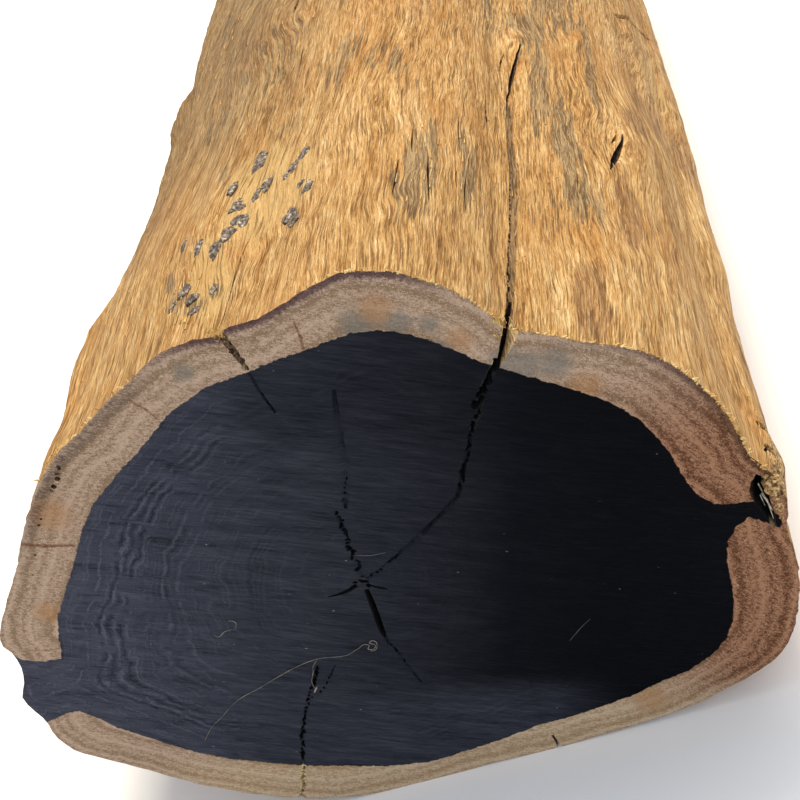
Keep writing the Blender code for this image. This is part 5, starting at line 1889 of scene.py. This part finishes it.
def makeRimLumps(material):
    draw = random.Random(rimLump["seed"])
    whole = bmesh.new()
    for at, half in rimLump["lumps"]:
        made = bmesh.ops.create_icosphere(whole, subdivisions=3, radius=1.0)
        for vert in made["verts"]:
            knobs = math.sin(vert.co.x * 5 + at[0]) * math.sin(vert.co.z * 6 + at[2])
            bumps = 1 + rimLump["rough"] * (knobs + draw.uniform(-0.5, 0.5))
            vert.co = toMetres((
                pith["across"] + at[0] + vert.co.x * half[0] * bumps, at[2] + vert.co.y * half[1] * bumps,
                pith["height"] + at[1] + vert.co.z * half[2] * bumps))
    # the biggest knob has a rolled edge
    spec = rimLump["rolled"]
    points, faces = [], []
    lean = math.radians(spec["turn"])
    path = []
    for i in range(25):
        t = 2 * math.pi * i / 24.6 + 0.4
        u = spec["half"][0] * math.cos(t) * (1 + 0.06 * math.sin(3 * t))
        v = spec["half"][1] * math.sin(t) * (1 + 0.05 * math.sin(5 * t))
        path.append(np.array((
            pith["across"] + spec["at"][0] + u * math.cos(lean) - v * math.sin(lean),
            spec["back"] + 0.3 * math.sin(4 * t),
            pith["height"] + spec["at"][1] + u * math.sin(lean) + v * math.cos(lean))))
    tubeAlong(points, path, spec["thick"] / 2, faces, 6)
    verts = [whole.verts.new(toMetres(point)) for point in points]
    for face in faces:
        whole.faces.new([verts[i] for i in face])
    bmesh.ops.recalc_face_normals(whole, faces=whole.faces[:])
    mesh = bpy.data.meshes.new("rim_lumps")
    whole.to_mesh(mesh)
    whole.free()
    mesh.materials.append(material)
    mesh.shade_smooth()
    made = linkObject("rim_lumps", mesh)
    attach(made, "root")
    print("rim lumps:", len(mesh.polygons), "faces")


def crumblyRim():
    # rotten, crumbling sapwood round the pocket: golden brown, pitted, matt
    material, tree, shader = newMaterial("crumbling sapwood")
    place = placeInMm(tree)
    tone = noiseAt(tree, place, (0.7, 1.6, 0.7), 4, 0.65, 0.3)
    colour = colourRamp(tree, tone, [
        (0.38, "#5A3D20"), (0.47, "#A67C4A"), (0.55, "#CDA76C"), (0.64, "#E9CD96")])
    feed(tree, shader, {"Base Color": colour, "Roughness": 0.85, "Normal": bumpFrom(tree, tone, 0.0012)})
    return material


def paleShard():
    # dead sapwood split off inside the pocket and bleached by fungus: greyish white, matt
    material, tree, shader = newMaterial("bleached shard")
    place = placeInMm(tree)
    tone = noiseAt(tree, place, (0.5, 1.2, 1.6), 3, 0.6)
    colour = colourRamp(tree, tone, [(0.38, "#7D7460"), (0.5, "#BDB59C"), (0.62, "#E4DFCB")])
    feed(tree, shader, {"Base Color": colour, "Roughness": 0.7})
    return material


def threadFibre():
    # loose thin fibres that the saw dropped: pale greyish straw, matt
    material, tree, shader = newMaterial("loose pale fibre")
    place = addNode(tree, "ShaderNodeTexCoord").outputs["Object"]
    tone = noiseAt(tree, place, (0.0025, 0.0025, 0.0025), 2, 0.5)
    colour = colourRamp(tree, tone, [(0.35, "#4A4742"), (0.65, "#8F877A")])
    feed(tree, shader, {"Base Color": colour, "Roughness": 0.75})
    return material


# making it
makeCamera()
makeStudio()
print("camera, floor and light")

side, endGrain, wall = weatheredSapwood(), sawnEnd(), checkWall()
fibre, bark = tornFibre(), innerBark()
print("materials")

logWood = linkObject("log_wood", buildLogMesh())
useTree(logWood, reliefTree(side), reliefSpec)
applied(logWood, "log_wood")
print("fibre relief")

cutters = [bladeCutter(name, spec) for name, spec in checkSpec.items()]
cutters += [bladeCutter(name, spec, True) for name, spec in backCheckSpec.items()]
cutters += [creaseCutter(name, *spec, 500 + 9 * n) for n, (name, spec) in enumerate(creaseSpec.items())]
cutters += holeMeshes("faceHole", faceHoles()) + longCheckCutters() + sideSlitCutters() + hollowCutters()
cutters += [bevelCutter(), pocketCutter()]
logMesh = cutAll(logWood, cutters)
paintLog(logMesh)
dressLog(logMesh, (side, endGrain, wall))
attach(logWood, "root")
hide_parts("blackwood_log")
print("checks cut:", sum(len(p.vertices) - 2 for p in logMesh.polygons), "triangles")

makeRimBurr(fibre)
makeSideFibres(side)
makePatchSlivers(fibre)
makeTornEdges(fibre)
makeBarkScraps(bark)
makeThreads(threadFibre())
makeRimLumps(crumblyRim())
makePocketShards(paleShard())
